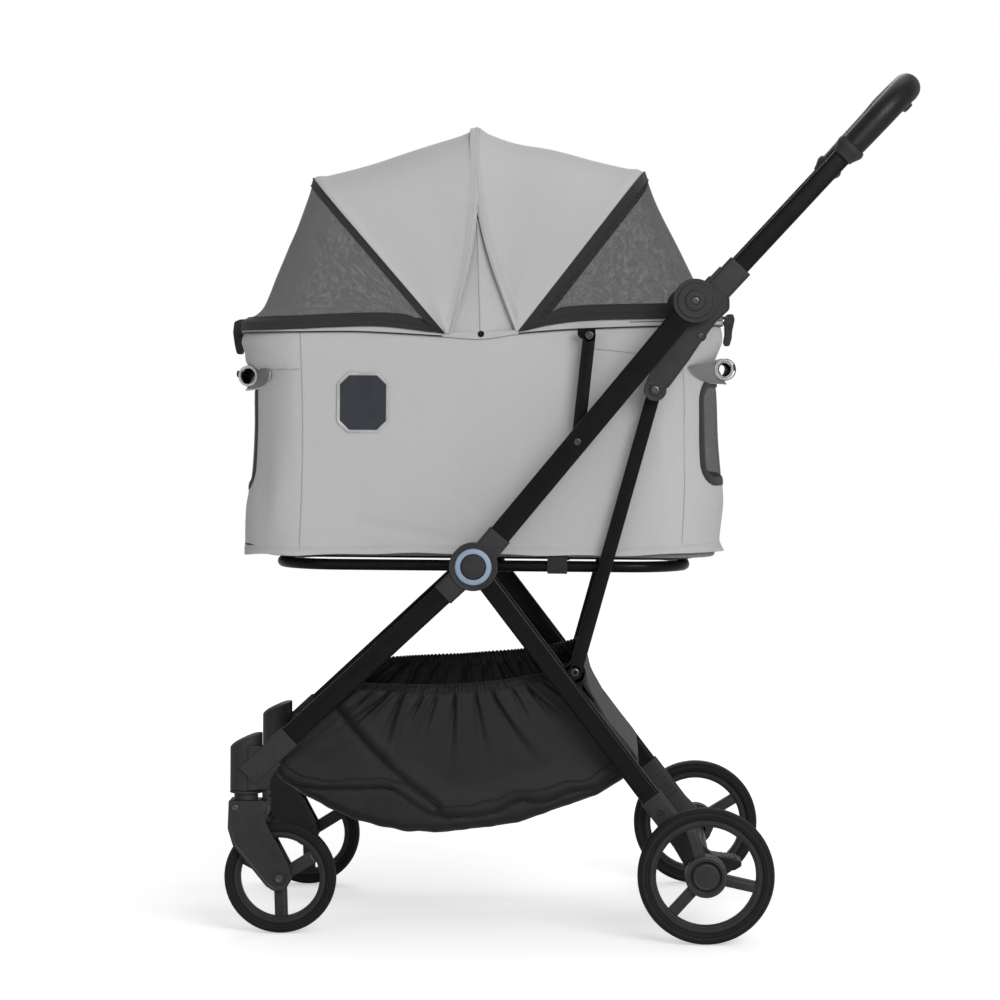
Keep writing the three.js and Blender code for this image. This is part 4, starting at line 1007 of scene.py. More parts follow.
# Handle bracket: disc, lever plate and the socket of the handle tube.
def makeBracket(side, word, size):
    disc = soften(drum(hinge, side * bracketIn, side * bracketOut, size["disc"], (),
                       [(0.012, 0), (0.0004, -0.0008)], 80), 0.0006)
    lever = plate(around(hinge, size["outline"]), side * leverIn, side * bracketOut)
    insetFaces(lever, lambda f: f.normal.y * side > 0.9, [(0.0018, 0), (0.0006, -0.0005)])
    soften(settle(lever), 0.0009, 3)
    boss = soften(drum(leverPin, side * leverIn, side * bracketOut, size["boss"], size["bossSteps"], (),
                       56), 0.0005)
    socket = sleeveOn(stemStart, stemAngle, *size["socket"], side * handleY, size["socketWide"], 0.0168,
                      0.005, lip=(0.003, 0.003), edge=0.0006)
    rib = bar(stemStart, stemAngle, *size["rib"], side * handleY, size["socketWide"], 0.014, 0.002, 3)
    rib.location = rib.location + Vector((-0.0014, 0, 0.0014))
    settle(rib, 25)
    assemble("handle_bracket_moulding_" + word, [disc, lever, boss, socket, rib], blackPlastic,
             "black_plastic", "handle", word + "_handle_bracket")
    assemble("lever_bolts_" + word, [
        screwHead(leverPin, side * (bracketOut + 0.0002), side, 0.0046, 0.0013),
        screwHead(rimPin, side * (bracketOut - 0.0004), side, 0.0034, 0.0014)],
        screwMetal, "black_plastic", "handle")


# Post: flat strip, bolted to a small bracket at its head.
def makePost(side, word, size):
    angle = angleOf(postFoot, postHead)
    span = (postHead - postFoot).length + size["pastHead"]
    head = along(postFoot, angle, span)
    strip = bar(postFoot, angle, 0, span, side * postY, size["wide"], size["half"] * 2, 0.0012, 2)
    settle(strip, 25)
    near, far = side * (postY - size["half"]), side * (postY + size["half"])
    ends = [soften(drum(spot, near, far, size["eye"], [(0.002, 0)], (), 40), 0.0004)
            for spot in (postFoot, head)]
    tab = settle(plate(around(head, size["tab"]), side * (postY - 0.0044), side * (postY - 0.0018)))
    foot = drum(postFoot, side * postY, side * (tubeY - 0.0083), size["foot"], (), (), 28)
    assemble("rim_post_painted_" + word, [strip, *ends, soften(tab, 0.0004), foot], blackTube,
             "black_tube", "posts", word + "_post")
    assemble("post_bolt_" + word, [screwHead(head, side * (postY + 0.0018), side, 0.005, 0.0016)],
             screwMetal, "black_tube", "posts")


for side, word in sides:
    makeLink(side, word, linkSize)
    makeBracket(side, word, bracketSize)
    makePost(side, word, postSize)
print("fold linkage made")

# ---- handle ----
handleSize = {
    "tubeWide": 0.0226, "depth": 0.013, "round": 0.0046, "grooveFrom": 0.0055, "grooveWide": 0.0011,
    "grooveDeep": 0.0006, "grooveLip": 0.00012, "tubeStart": 0.035, "collar": 0.246, "collarEnd": 0.266,
    "crossbar": 0.365, "corner": 0.06, "grip": 0.0158}


# Points of an arch that leaves along the given direction, with curved corners at the top.
def arch(start, degrees, near, far, half, corner, steps=10):
    at = lambda distance, y: along(start, degrees, distance) + Vector((0, y, 0))
    points = [at(near + (far - corner - near) * k / steps, -half) for k in range(steps)]
    for k in range(steps + 1):
        t = k / steps
        a, b, c = at(far - corner, -half), at(far, -half), at(far, corner - half)
        points.append(a.lerp(b, t).lerp(b.lerp(c, t), t))
    flat = [at(far, (half - corner) * (2 * k / steps - 1)) for k in range(1, steps)]
    other = [Vector((p.x, -p.y, p.z)) for p in reversed(points)]
    return points + flat + other


size = handleSize
for side, word in sides:
    y = side * handleY
    tube = grooved("handle_tube_painted_" + word, stemStart, stemAngle, size["tubeStart"],
                   size["collarEnd"], y,
                   size["tubeWide"], size)
    finishPiece(tube, blackTube, "black_tube", "handle", word + "_handle_tube")
    start = along(stemStart, stemAngle, size["collar"])
    collar = turnedAlong(start, stemAngle, y, [
        (0.0092, 0), (0.0126, 0), (0.0134, 0.001), (0.0141, 0.004), (0.0164, 0.0095), (0.0178, 0.0125),
        (0.0182, 0.014), (0.0182, 0.0176), (0.0176, 0.0182), (0.017, 0.0183), (0.017, 0.019),
        (0.0176, 0.0194), (0.017, 0.02), (0.0092, 0.02)])
    assemble("grip_collar_moulding_" + word, [collar], blackPlastic, "black_plastic", "handle",
             word + "_grip_collar")


def makeLeather():
    material, tree, shader, where = startMaterial("black stitched leather")
    pores = fill(tree, put(tree, "TexVoronoi", feature="DISTANCE_TO_EDGE"),
                 Vector=where["Object"], Scale=620)
    pore = pores.outputs["Distance"]
    grain = useGroup(tree, fineGrain, Place=where["Object"], Size=0.0004)
    height = calc(tree, "ADD", calc(tree, "MINIMUM", pore, 0.22),
                  calc(tree, "MULTIPLY", grain["Height"], 0.2))
    base = blendColour(tree, grain["Patches"], (0.0048, 0.0048, 0.0053), (0.008, 0.008, 0.0088), 0.35, 0.65)
    fill(tree, shader, Base_Color=base, Roughness=mapped(tree, pore, 0.0, 0.25, 0.5, 0.32),
         Specular_IOR_Level=0.3)
    addBump(tree, shader, height, 0.00035, 0.5)
    return material


leather = makeLeather()
gripPath = arch(stemStart, stemAngle, size["collarEnd"] + 0.0006, size["crossbar"], handleY,
                size["corner"], 14)
grip = pipe(gripPath, size["grip"], sides=10)
# the padding swells a little away from the collars and along the crossbar
for vertex in grip.data.vertices:
    nearest = min(gripPath, key=lambda p: (p - vertex.co).length_squared)
    travel = min((nearest - gripPath[0]).length, (nearest - gripPath[-1]).length)
    swell = 0.955 + 0.055 * min(1, travel / 0.05) + 0.1 * smooth((handleY - abs(nearest.y) + 0.002) / 0.036)
    vertex.co = nearest + (vertex.co - nearest) * swell
grip.name = "leather_grip_cover"
finishPiece(grip, leather, "grip_leather", "handle", "handle_grip")


# One piece for several rows of stitches: slim capsules, each lifted along the row's own normal.
def stitches(name, rows, length=0.003, gap=0.0014, radius=0.00033):
    corners, faces = [], []
    for points, normals in rows:
        spans = [(b - a).length for a, b in zip(points, points[1:])]
        total = sum(spans)
        position, travelled, i = gap, 0.0, 0
        while position + length < total:
            while i < len(spans) - 1 and travelled + spans[i] < position:
                travelled += spans[i]
                i += 1
            middle = points[i].lerp(points[i + 1], (position - travelled) / max(spans[i], 1e-9))
            ahead = (points[i + 1] - points[i]).normalized()
            out = normals[i].normalized()
            across = ahead.cross(out).normalized()
            base = len(corners)
            corners.append(middle - ahead * length * 0.5 - out * radius)
            for share in (-0.34, 0.34):
                for a, b in ((1, 0), (0, 1), (-1, 0), (0, -1)):
                    corners.append(middle + ahead * length * share + across * radius * a
                                   + out * radius * (b + 0.4))
            corners.append(middle + ahead * length * 0.5 - out * radius)
            for k in range(4):
                n = (k + 1) % 4
                faces.append((base, base + 1 + n, base + 1 + k))
                faces.append((base + 1 + k, base + 1 + n, base + 5 + n, base + 5 + k))
                faces.append((base + 9, base + 5 + k, base + 5 + n))
            position += length + gap
    mesh = bpy.data.meshes.new(name)
    mesh.from_pydata([tuple(c) for c in corners], [], faces)
    piece = bpy.data.objects.new(name, mesh)
    bpy.context.collection.objects.link(piece)
    return settle(faceOutwards(piece), 60)


threadGrey = hardFinish("grey sewing thread", (0.43, 0.43, 0.43), (0.36, 0.36, 0.36), (0.5, 0.5, 0.5),
                        0.8, 0.0003, 0.00002, wear=0.1, specular=0.2)
threadBlack = hardFinish("black sewing thread", (0.016, 0.016, 0.017), (0.011, 0.011, 0.012),
                         (0.03, 0.03, 0.03), 0.7, 0.0003, 0.00002, wear=0.1, specular=0.25)
# sewn seam on the inner side of the grip
inward = along(origin, stemAngle + 180, 1)
seamPath, seamNormals = [], []
for i, point in enumerate(gripPath[2:-2], 2):
    ahead = (gripPath[i + 1] - gripPath[i - 1]).normalized()
    out = ahead.cross(Vector((0, 1, 0)).cross(inward))
    out.normalize()
    if out.dot(hinge + inward * 0.05 - point) < 0:
        out.negate()
    seamPath.append(point + out * size["grip"] * 1.04)
    seamNormals.append(out)
gripSeam = stitches("grip_seam_stitches", [(seamPath, seamNormals)], 0.0036, 0.0022, 0.0005)
finishPiece(gripSeam, threadBlack, "grip_leather", "handle")

buttonSize = {"wide": 0.012, "long": 0.034, "top": 0.0222, "bottom": 0.0088, "frame": 0.0022}
size = buttonSize
crossbar = along(stemStart, stemAngle, handleSize["crossbar"])
outAngle = stemAngle - 90
saddle = bar(crossbar, outAngle, 0.014, 0.0184, 0, size["wide"] + 2 * size["frame"], size["long"] + 0.008)
insetFaces(saddle, lambda f: f.normal.x > 0.99, [(size["frame"] - 0.0003, 0), (0.0001, -0.0035)])
assemble("release_button_frame", [soften(settle(saddle), 0.0011, 3)], blackPlastic,
         "black_plastic", "handle")
button = bar(crossbar, outAngle, size["bottom"], size["top"], 0, size["wide"] - 0.0006,
             size["long"] - 0.0006)
assemble("release_button_cap", [soften(settle(button), 0.0024, 4)], greyPlastic, "grey_plastic",
         "release_button", "fold_release")
print("handle made")

# ---- cabin rim, base loop and bows ----
loopSize = {"rim": 0.007, "rimLong": 0.568, "rimWide": 0.29, "rimCorner": 0.068, "base": 0.0068,
            "baseLong": 0.498, "baseShift": 0.004, "baseWide": 0.3, "baseCorner": 0.075}
size = loopSize


# Place and outward direction on a rounded rectangle; share runs once round from the far side.
def loopPlace(share, halfX, halfY, corner):
    a, b, arc = halfX - corner, halfY - corner, corner * math.pi / 2
    quarter = a + arc + b
    whole = (share % 1.0) * 4
    section = int(whole)
    travel = (whole - section) * quarter
    if section % 2:
        travel = quarter - travel
    if travel < a:
        x, y, nx, ny = travel, halfY, 0.0, 1.0
    elif travel < a + arc:
        turn = (travel - a) / corner
        nx, ny = math.sin(turn), math.cos(turn)
        x, y = a + corner * nx, b + corner * ny
    else:
        x, y, nx, ny = halfX, b - (travel - a - arc), 1.0, 0.0
    flipX = -1 if section in (2, 3) else 1
    flipY = -1 if section in (1, 2) else 1
    return x * flipX, y * flipY, nx * flipX, ny * flipY


def loopPoints(long, wide, corner, z, count=160, shift=0.0):
    points = []
    for k in range(count):
        x, y = loopPlace(k / count, long / 2, wide / 2, corner)[:2]
        points.append(Vector((cabinMiddle.x + shift + x, y, z)))
    return points


rimParts = [pipe(loopPoints(size["rimLong"], size["rimWide"], size["rimCorner"], rimHeight), size["rim"],
                 True, 7)]
railY = size["rimWide"] / 2
for side, word in sides:
    past = abs(rimPin.x - cabinMiddle.x) - (size["rimLong"] / 2 - size["rimCorner"])
    pinHalf = railY - size["rimCorner"] + math.sqrt(size["rimCorner"] ** 2 - past ** 2)
    rimParts.append(soften(drum(rimPin, side * pinHalf, side * (leverIn - 0.0005), 0.0078,
                                [(0.0015, 0)], (), 40), 0.0004))
    rimParts.append(drum(postHead, side * railY, side * (postY - 0.0024), 0.0048, (), (), 32))
    rimParts.append(soften(block((postHead.x, side * railY, rimHeight - 0.0085), (0.0096, 0.0058, 0.017)),
                           0.0008))
    rimParts.append(drum(bowPivot, side * railY, side * 0.1649, 0.0039, (), (), 32))
assemble("rim_frame_painted", rimParts, blackTube, "black_tube", "cabin_rim", "rim_frame")
loop = pipe(loopPoints(size["baseLong"], size["baseWide"], size["baseCorner"],
                       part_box("base_loop")[0].z + 0.011, shift=size["baseShift"]), size["base"], True, 8)
assemble("base_loop_painted", [loop], blackTube, "black_tube", "cabin_base", "base_loop")


# Flat rounded slab lying in the cabin.
def slab(name, halfX, halfY, corner, low, high):
    places = [loopPlace(k / 96, halfX, halfY, corner) for k in range(96)]
    piece = pulled([(cabinMiddle.x + x, y, low) for x, y, *_ in places], (0, 0, high - low))
    piece.name = name
    return settle(piece)


boardLow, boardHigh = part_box("base_board")
boardHalf = (boardHigh - boardLow) / 2
board = soften(slab("cabin_base_board", boardHalf.x - 0.032, boardHalf.y - 0.022, 0.07, boardLow.z + 0.0025,
                    boardHigh.z), 0.001)
finishPiece(board, blackPlastic, "black_plastic", "cabin_base", "base_board")

bowSize = {
    "wide": 0.009, "thick": 0.002, "eye": 0.009, "corner": 0.08,
    "bows": [("rear_bow", 45, 0.273, 0.1536, "rear_hoop"), ("mid_bow", 92, 0.247, 0.1562, "middle_hoop"),
        ("front_bow", 138, 0.2735, 0.1588, "front_hoop")]}


# Flat sprung strip bent to an arch in the plane of its pivot.
def flatBow(degrees, radius, half):
    curve = curveThrough([(p.x, p.y, 0) for p in arch(origin, 0, 0, radius, half, bowSize["corner"], 12)])
    curve.dimensions = "2D"
    curve.extrude = bowSize["wide"] / 2 - 0.0009
    curve.bevel_depth = bowSize["thick"] / 2
    curve.bevel_resolution = 3
    bpy.ops.object.convert(target="MESH")
    piece = bpy.context.object
    piece.location = bowPivot
    piece.rotation_euler = (0, -math.radians(degrees), 0)
    return settle(piece, 40)


bowEyeSteps = [(0.0035, 0), (0.0006, -0.0005)]
for node, degrees, radius, half, body in bowSize["bows"]:
    parts = [flatBow(degrees, radius, half)]
    near, far = half - bowSize["thick"] / 2, half + bowSize["thick"] / 2
    for side, word in sides:
        eye = drum(bowPivot, side * near, side * far, bowSize["eye"], bowEyeSteps, bowEyeSteps, 40)
        parts.append(soften(eye, 0.0004))
    assemble("canopy_" + node, parts, blackPlastic, "black_plastic", body, node)


# Canopy hooks: a thick pad outside the rim with a thin arm over the cloth, and a rivet.
clipSize = {
    "wide": 0.028, "outer": 0.316,
    # (inwards from the outer face, above the rim, corner radius)
    "front": [(0.0014, 0.0145, 0.004), (0.0, 0.001, 0.01), (0.0022, -0.015, 0.01), (0.005, -0.0262, 0.004),
        (0.011, -0.0268, 0.004), (0.0122, -0.018, 0.005), (0.0116, -0.005, 0.006), (0.0108, 0.006, 0.004),
        (0.0112, 0.0142, 0.002), (0.0205, 0.0155, 0.001), (0.0205, 0.0182, 0.001), (0.009, 0.0176, 0.004)],
    "rear": [(0.0008, 0.0215, 0.005), (0.0026, 0.0288, 0.004), (0.011, 0.0284, 0.004),
        (0.0138, 0.0192, 0.002), (0.02, 0.0188, 0.001), (0.02, 0.016, 0.001), (0.0134, 0.0152, 0.002),
        (0.013, 0.002, 0.006), (0.0146, -0.0075, 0.003), (0.0128, -0.0116, 0.003), (0.0072, -0.0118, 0.003),
        (0.0044, -0.002, 0.006), (0.0038, 0.007, 0.008)], "rivet": {"front": -0.002, "rear": 0.012}}
for word, sign in (("front", -1), ("rear", 1)):
    outer = cabinMiddle.x + sign * clipSize["outer"]
    half = clipSize["wide"] / 2
    hook = plate([(outer - sign * inX, rimHeight + up, r) for inX, up, r in clipSize[word]], -half, half)
    rivet = Vector((outer - sign * 0.0068, 0, rimHeight + clipSize["rivet"][word]))
    heads = [screwHead(rivet, side * half, side, 0.0028, 0.001) for side in (-1, 1)]
    assemble(word + "_rim_hook", [soften(settle(hook), 0.0012, 3), *heads], blackPlastic, "black_plastic",
             "cabin_rim", word + "_clip")
print("rim, loop and bows made")

# ---- cloth finishes ----


# woven cloth: thread bump, slow creases, a little tone change from thread to thread, and painted shade in
# the gaps between threads
def wovenFinish(name, light, dark, thread, roughness, sheen, creaseDepth, threadDepth, specular=0.3,
                sheenRoughness=0.5):
    material, tree, shader, where = startMaterial(name)
    weave = useGroup(tree, plainWeave, Along=where["UV"], Thread=thread)
    fold = useGroup(tree, creases, Place=where["Object"], Scale=11.0)
    tone = calc(tree, "ADD", calc(tree, "MULTIPLY", weave["Slubs"], 0.55),
                calc(tree, "MULTIPLY", fold["Tone"], 0.45))
    base = blendColour(tree, tone, dark, light, 0.36, 0.62)
    # the low places of the weave are darkened: painted shade between the threads
    fill(tree, shader, Base_Color=blendColour(tree, weave["Height"], dark, base, -0.9, 0.7),
         Roughness=mapped(tree, weave["Height"], 0.0, 1.0, roughness * 1.08, roughness * 0.94),
         Specular_IOR_Level=specular, Sheen_Weight=sheen, Sheen_Roughness=sheenRoughness)
    soft = addBump(tree, shader, fold["Height"], creaseDepth)
    addBump(tree, shader, weave["Height"], threadDepth, 1.0, soft)
    return material


greyCanvas = wovenFinish("grey woven polyester", (0.52, 0.52, 0.515), (0.475, 0.475, 0.472), 0.00055, 0.82,
                         0.12, 0.0022, 0.00009)
# darker grey for the seam piping: painted shade along the seam lines
seamShadeCanvas = wovenFinish("shaded grey tape", (0.4, 0.4, 0.398), (0.35, 0.35, 0.348), 0.0006, 0.85, 0.1,
                          0.0012, 0.0001)
# darker grey canvas for the corner leaves of the rolled flaps: painted shade, standing in for the shadow on
# their inner side
leafShadeCanvas = wovenFinish("shaded grey lining", (0.2, 0.2, 0.198), (0.165, 0.165, 0.163),
                           0.0006, 0.85, 0.05,
                           0.0012, 0.0001)
blackSatin = wovenFinish("black basket nylon", (0.0135, 0.0135, 0.0152),
                         (0.0088, 0.0088, 0.01), 0.0005, 0.48,
                         0.05, 0.0012, 0.00006, specular=0.3, sheenRoughness=0.35)
blackTape = wovenFinish("black binding tape", (0.03, 0.031, 0.032), (0.02, 0.021, 0.022), 0.0007, 0.78,
                        0.12, 0.0006, 0.00012, specular=0.25)
matCloth = wovenFinish("soft mat plush", (0.3, 0.3, 0.305), (0.24, 0.24, 0.245), 0.0011, 0.92, 0.45,
                       0.003, 0.0003, specular=0.2)


# net cloth: threads round small holes, clear between them; the holes are tinted darker than the threads,
# painted shade
def makeNetFinish():
    material, tree, shader, where = startMaterial("black hole net")
    thread = useGroup(tree, holeNet, Along=where["UV"], Pitch=0.0019, Hole=0.2, Wander=0.0042)["Thread"]
    # the colour is darker away from the threads: painted shade in the holes
    fill(tree, shader, Alpha=mapped(tree, thread, 0.0, 1.0, 0.24, 0.57),
         Base_Color=blendColour(tree, thread, (0.02, 0.021, 0.021), (0.046, 0.049, 0.048)),
         Roughness=0.7, Specular_IOR_Level=0.25)
    addBump(tree, shader, thread, 0.0002, 0.6)
    return material


blackNet = makeNetFinish()
print("cloth finishes built")

# ---- cloth helpers ----
cuts = {}


def hump(x, middle, width):
    return math.exp(-((x - middle) / width) ** 2)


# Smooth curve through (x, value) pairs.
def through(knots, x):
    if x <= knots[0][0]:
        return knots[0][1]
    if x >= knots[-1][0]:
        return knots[-1][1]
    i = max(k for k in range(len(knots) - 1) if knots[k][0] <= x)
    (x0, y0), (x1, y1) = knots[i], knots[i + 1]
    slope = (y1 - y0) / (x1 - x0)
    before = (y1 - knots[i - 1][1]) / (x1 - knots[i - 1][0]) if i else slope
    after = (knots[i + 2][1] - y0) / (knots[i + 2][0] - x0) if i + 2 < len(knots) else slope
    t, span = (x - x0) / (x1 - x0), x1 - x0
    return (y0 * (1 + 2 * t) * (1 - t) ** 2 + before * span * t * (1 - t) ** 2
            + y1 * t * t * (3 - 2 * t) + after * span * t * t * (t - 1))


# Cloth laid by a function of (u, v); size is the width and length of the flat cut.
def clothSheet(name, across, down, place, size, thick=0.001, closed=False, hole=None):
    choose()
    bpy.ops.mesh.primitive_grid_add(x_subdivisions=across, y_subdivisions=down, size=1)
    piece = bpy.context.object
    piece.name = name
    piece.data.name = name
    if hole:
        edit(piece)
        grab(piece, lambda f: hole(f.calc_center_median().x + 0.5, f.calc_center_median().y + 0.5))
        bpy.ops.mesh.delete(type="FACE")
        bpy.ops.object.mode_set(mode="OBJECT")
    for corner in piece.data.uv_layers.active.data:
        corner.uv = (corner.uv.x * size[0], corner.uv.y * size[1])
    for vertex in piece.data.vertices:
        vertex.co = place(vertex.co.x + 0.5, vertex.co.y + 0.5)
    if closed:
        edit(piece, action="SELECT")
        bpy.ops.mesh.remove_doubles(threshold=0.00005)
    settle(piece, 70)
    cuts[name] = (size[0], size[1], min(sum(face.area for face in piece.data.polygons),
                                        size[0] * size[1]))
    if thick:
        refine(piece, "SOLIDIFY", thickness=thick, offset=-1)
        settle(piece, 70)
    return piece


# Evenly spaced points along a polyline.
def spread(points, count):
    spans = [(b - a).length for a, b in zip(points, points[1:])]
    total, result, i, done = sum(spans), [], 0, 0.0
    for k in range(count):
        target = total * k / (count - 1)
        while i < len(spans) - 1 and done + spans[i] < target:
            done += spans[i]
            i += 1
        result.append(points[i].lerp(points[i + 1], (target - done) / max(spans[i], 1e-9)))
    return result


# Surface ruled between two rows of points, moved along its outward normal by sag(u, v).
def surfaceBetween(first, last, sag, centre):
    count = len(first) - 1

    def rowAt(row, v):
        place = max(0.0, min(1.0, v)) * count
        i = min(int(place), count - 1)
        return row[i].lerp(row[i + 1], place - i)

    def at(u, v, lift=0.0):
        a, b = rowAt(first, v), rowAt(last, v)
        point = a.lerp(b, u)
        step = 0.012
        ahead = rowAt(first, v + step).lerp(rowAt(last, v + step), u) \
            - rowAt(first, v - step).lerp(rowAt(last, v - step), u)
        across = b - a
        if across.length < 0.004:
            across = rowAt(last, 0.5) - rowAt(first, 0.5)
        normal = across.cross(ahead).normalized()
        if normal.dot(point - centre) < 0:
            normal.negate()
        return point + normal * (sag(u, v) + lift), normal

    at.width = lambda v: (rowAt(last, v) - rowAt(first, v)).length
    return at


def rowLength(points):
    return sum((b - a).length for a, b in zip(points, points[1:]))


# Thin piping laid along points.
def piping(name, points, radius, material, closed=False):
    piece = pipe(points, radius, closed, 2)
    piece.name = name
    piece.data.materials.clear()
    piece.data.materials.append(material)
    return piece


def declareCloth(piece, restsOn=()):
    wide, length, area = cuts[piece.name]
    list(restsOn)


# ---- cabin walls ----
wallSize = {
    "halfX": 0.301, "halfY": 0.162, "corner": 0.085, "thick": 0.0012,
    # (place along the cabin from its middle, height against the rim)
    "top": [(-0.301, 0.001), (-0.219, 0.0026), (-0.145, 0.0032), (-0.048, -0.0012), (0.002, -0.0038),
        (0.048, 0.0025), (0.117, 0.0081), (0.219, 0.0125), (0.301, 0.0145)],
    "meshEdge": [(-0.301, 0.0022), (-0.27, 0.0026), (-0.219, 0.0045), (-0.193, 0.0062), (-0.12, 0.0084),
        (-0.063, 0.0026), (-0.04, 0.0002), (0.048, 0.0036), (0.082, 0.011), (0.129, 0.0172),
        (0.223, 0.0201), (0.301, 0.0226)],
    "hem": [(-0.301, 0.4535), (-0.262, 0.456), (-0.217, 0.4565), (-0.095, 0.46), (-0.009, 0.46),
        (0.1, 0.459), (0.197, 0.46), (0.275, 0.464), (0.301, 0.4625)],
    # (height, how far the end wall is drawn in)
    "front": [(0.4495, 0.0105), (0.46, 0.0088), (0.51, 0.0095), (0.53, 0.0124), (0.56, 0.016),
        (0.61, 0.0184), (0.654, 0.0184), (0.674, 0.0212), (0.69, 0.0092), (0.704, 0.0068), (0.715, 0.0032),
        (0.7274, 0.0058)],
    "rear": [(0.45, 0.002), (0.4627, 0.0006), (0.473, 0.0044), (0.5, 0.002), (0.522, 0.0), (0.547, 0.0015),
        (0.6, 0.006), (0.664, 0.0096), (0.687, 0.016), (0.706, 0.0088), (0.722, 0.0034), (0.742, 0.0056)]}
size = wallSize
wallRound = 4 * (size["halfX"] + size["halfY"] - 2 * size["corner"]) + 2 * math.pi * size["corner"]
nearShare = lambda x: 0.5 - x / wallRound
farShare = lambda x: (x / wallRound) % 1.0


# Point on the outside of the cabin wall; share runs round it, lift is the height above the cloth.
def wallAt(share, z, lift=0.0):
    size = wallSize
    x, y, nx, ny = loopPlace(share, size["halfX"], size["halfY"], size["corner"])
    drawn = through(size["front"] if x < 0 else size["rear"], z) * smooth(abs(nx) * 1.1)
    side = smooth(abs(ny) * 1.2)
    near = 1.0 if y < 0 else -1.0
    middle = smooth((z - 0.455) / 0.05) * smooth((rimHeight - 0.012 - z) / 0.05)
    soft = noise.noise(Vector((x * 7.5, z * 6.0, near * 3.7))) * 0.0026
    soft += noise.noise(Vector((x * 19 + 5, z * 15, near * 2.1))) * 0.0008
    # pulled folds: low at the front of the side, and upright behind the post
    ridge = z - (0.486 - 0.16 * (x + 0.09))
    soft -= 0.0022 * hump(x, -0.085, 0.06) * hump(ridge, 0, 0.007)
    soft += 0.0016 * hump(x, -0.085, 0.07) * hump(ridge, -0.014, 0.008)
    upright = math.sin((x - 0.24 + (z - 0.57) * 0.12) * 2 * math.pi / 0.021)
    soft += 0.0012 * upright * hump(x, 0.245, 0.026) * hump(z, 0.575, 0.055)
    soft += 0.0013 * math.sin(x * 120) * hump(x, -0.255, 0.03) * hump(z, 0.53, 0.05)
    out = lift - drawn + soft * middle * (0.35 + 0.65 * side)
    return Vector((cabinMiddle.x + x + nx * out, y + ny * out, z))


# The wall's cut: hem, wall, then over the rim and down inside it.
def wallSection(share, v):
    x, y = loopPlace(share, wallSize["halfX"], wallSize["halfY"], wallSize["corner"])[:2]
    low = through(wallSize["hem"], x) + 0.0007 * math.sin(share * 2 * math.pi * 17)
    high = rimHeight + through(wallSize["top"], x)
    pivotGap = hump(x - (bowPivot.x - cabinMiddle.x), 0, 0.045) ** 0.5 if abs(y) > 0.1 else 0.0
    pivotGap = smooth(pivotGap * 2.2 - 0.8)
    over = [(0.0, 0.002, low), (0.025, 0.0008, low + 0.007), (0.05, 0.0, low + 0.015),
            (0.84, 0.0, high - 0.008), (0.865, -0.001, high - 0.001), (0.88, -0.003, high)]
    inside = [(0.91, -0.01, max(high, rimHeight + 0.0088) * 0.5 + (rimHeight + 0.0088) * 0.5),
              (0.94, -0.017, rimHeight + 0.0084), (0.965, -0.0245, rimHeight + 0.004),
              (0.98, -0.0258, rimHeight - 0.004), (1.0, -0.0262, rimHeight - 0.02)]
    knots = over + [(down, out * (1 - pivotGap) - 0.0032 * pivotGap, z + (high - z) * pivotGap)
                    for down, out, z in inside]
    for (v0, out0, z0), (v1, out1, z1) in zip(knots, knots[1:]):
        if v <= v1 + 1e-9:
            t = (v - v0) / (v1 - v0)
            return wallAt(share, z0 + (z1 - z0) * t, out0 + (out1 - out0) * t)
    return wallAt(share, knots[-1][2], knots[-1][1])


windowSize = {"front": (0.683, 0.817, 0.538, 0.67), "rear": (0.166, 0.334, 0.549, 0.67),
              "corner": 0.024, "binding": 0.008}


# Middle, half sizes and corner radius of a window grown by grow, measured on the flat wall.
def windowShape(word, grow):
    s0, s1, z0, z1 = windowSize[word]
    halfWide, halfHigh = (s1 - s0) * wallRound / 2 + grow, (z1 - z0) / 2 + grow
    return (s0 + s1) / 2, (z0 + z1) / 2, halfWide, halfHigh, windowSize["corner"] + grow


# Whether a place of the wall lies inside the rounded outline of a window.
def inWindow(share, z, grow):
    for word in ("front", "rear"):
        middleShare, middleZ, halfWide, halfHigh, corner = windowShape(word, grow)
        dx = abs((share - middleShare) * wallRound) - halfWide + corner
        dz = abs(z - middleZ) - halfHigh + corner
        if dx < corner and dz < corner and math.hypot(max(dx, 0), max(dz, 0)) < corner:
            return True
    return False


def wallHole(u, v):
    middle = wallSection(1 - u, v)
    return 0.06 < v < 0.84 and inWindow(1 - u, middle.z, -0.003)


wall = clothSheet("cabin_wall_cloth", 300, 96, lambda u, v: wallSection(1 - u, v), (wallRound, 0.345),
                  wallSize["thick"], True, wallHole)


# The walls stand between the rim and the base; they are finished without a body, and their transform is
# baked into the mesh.
def followed(piece, material, slotName, *nodes):
    finishPiece(piece, material, slotName, None, *nodes)
    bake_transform(piece)


# Rounded outline of a window as (share, height) points.
def windowEdge(word, grow, count=96):
    middleShare, middleZ, *sizes = windowShape(word, grow)
    for k in range(count):
        x, y = loopPlace(k / count, *sizes)[:2]
        yield middleShare + x / wallRound, middleZ + y


followed(wall, greyCanvas, "grey_fabric", "cabin")
declareCloth(wall, ["rim_frame_painted"])

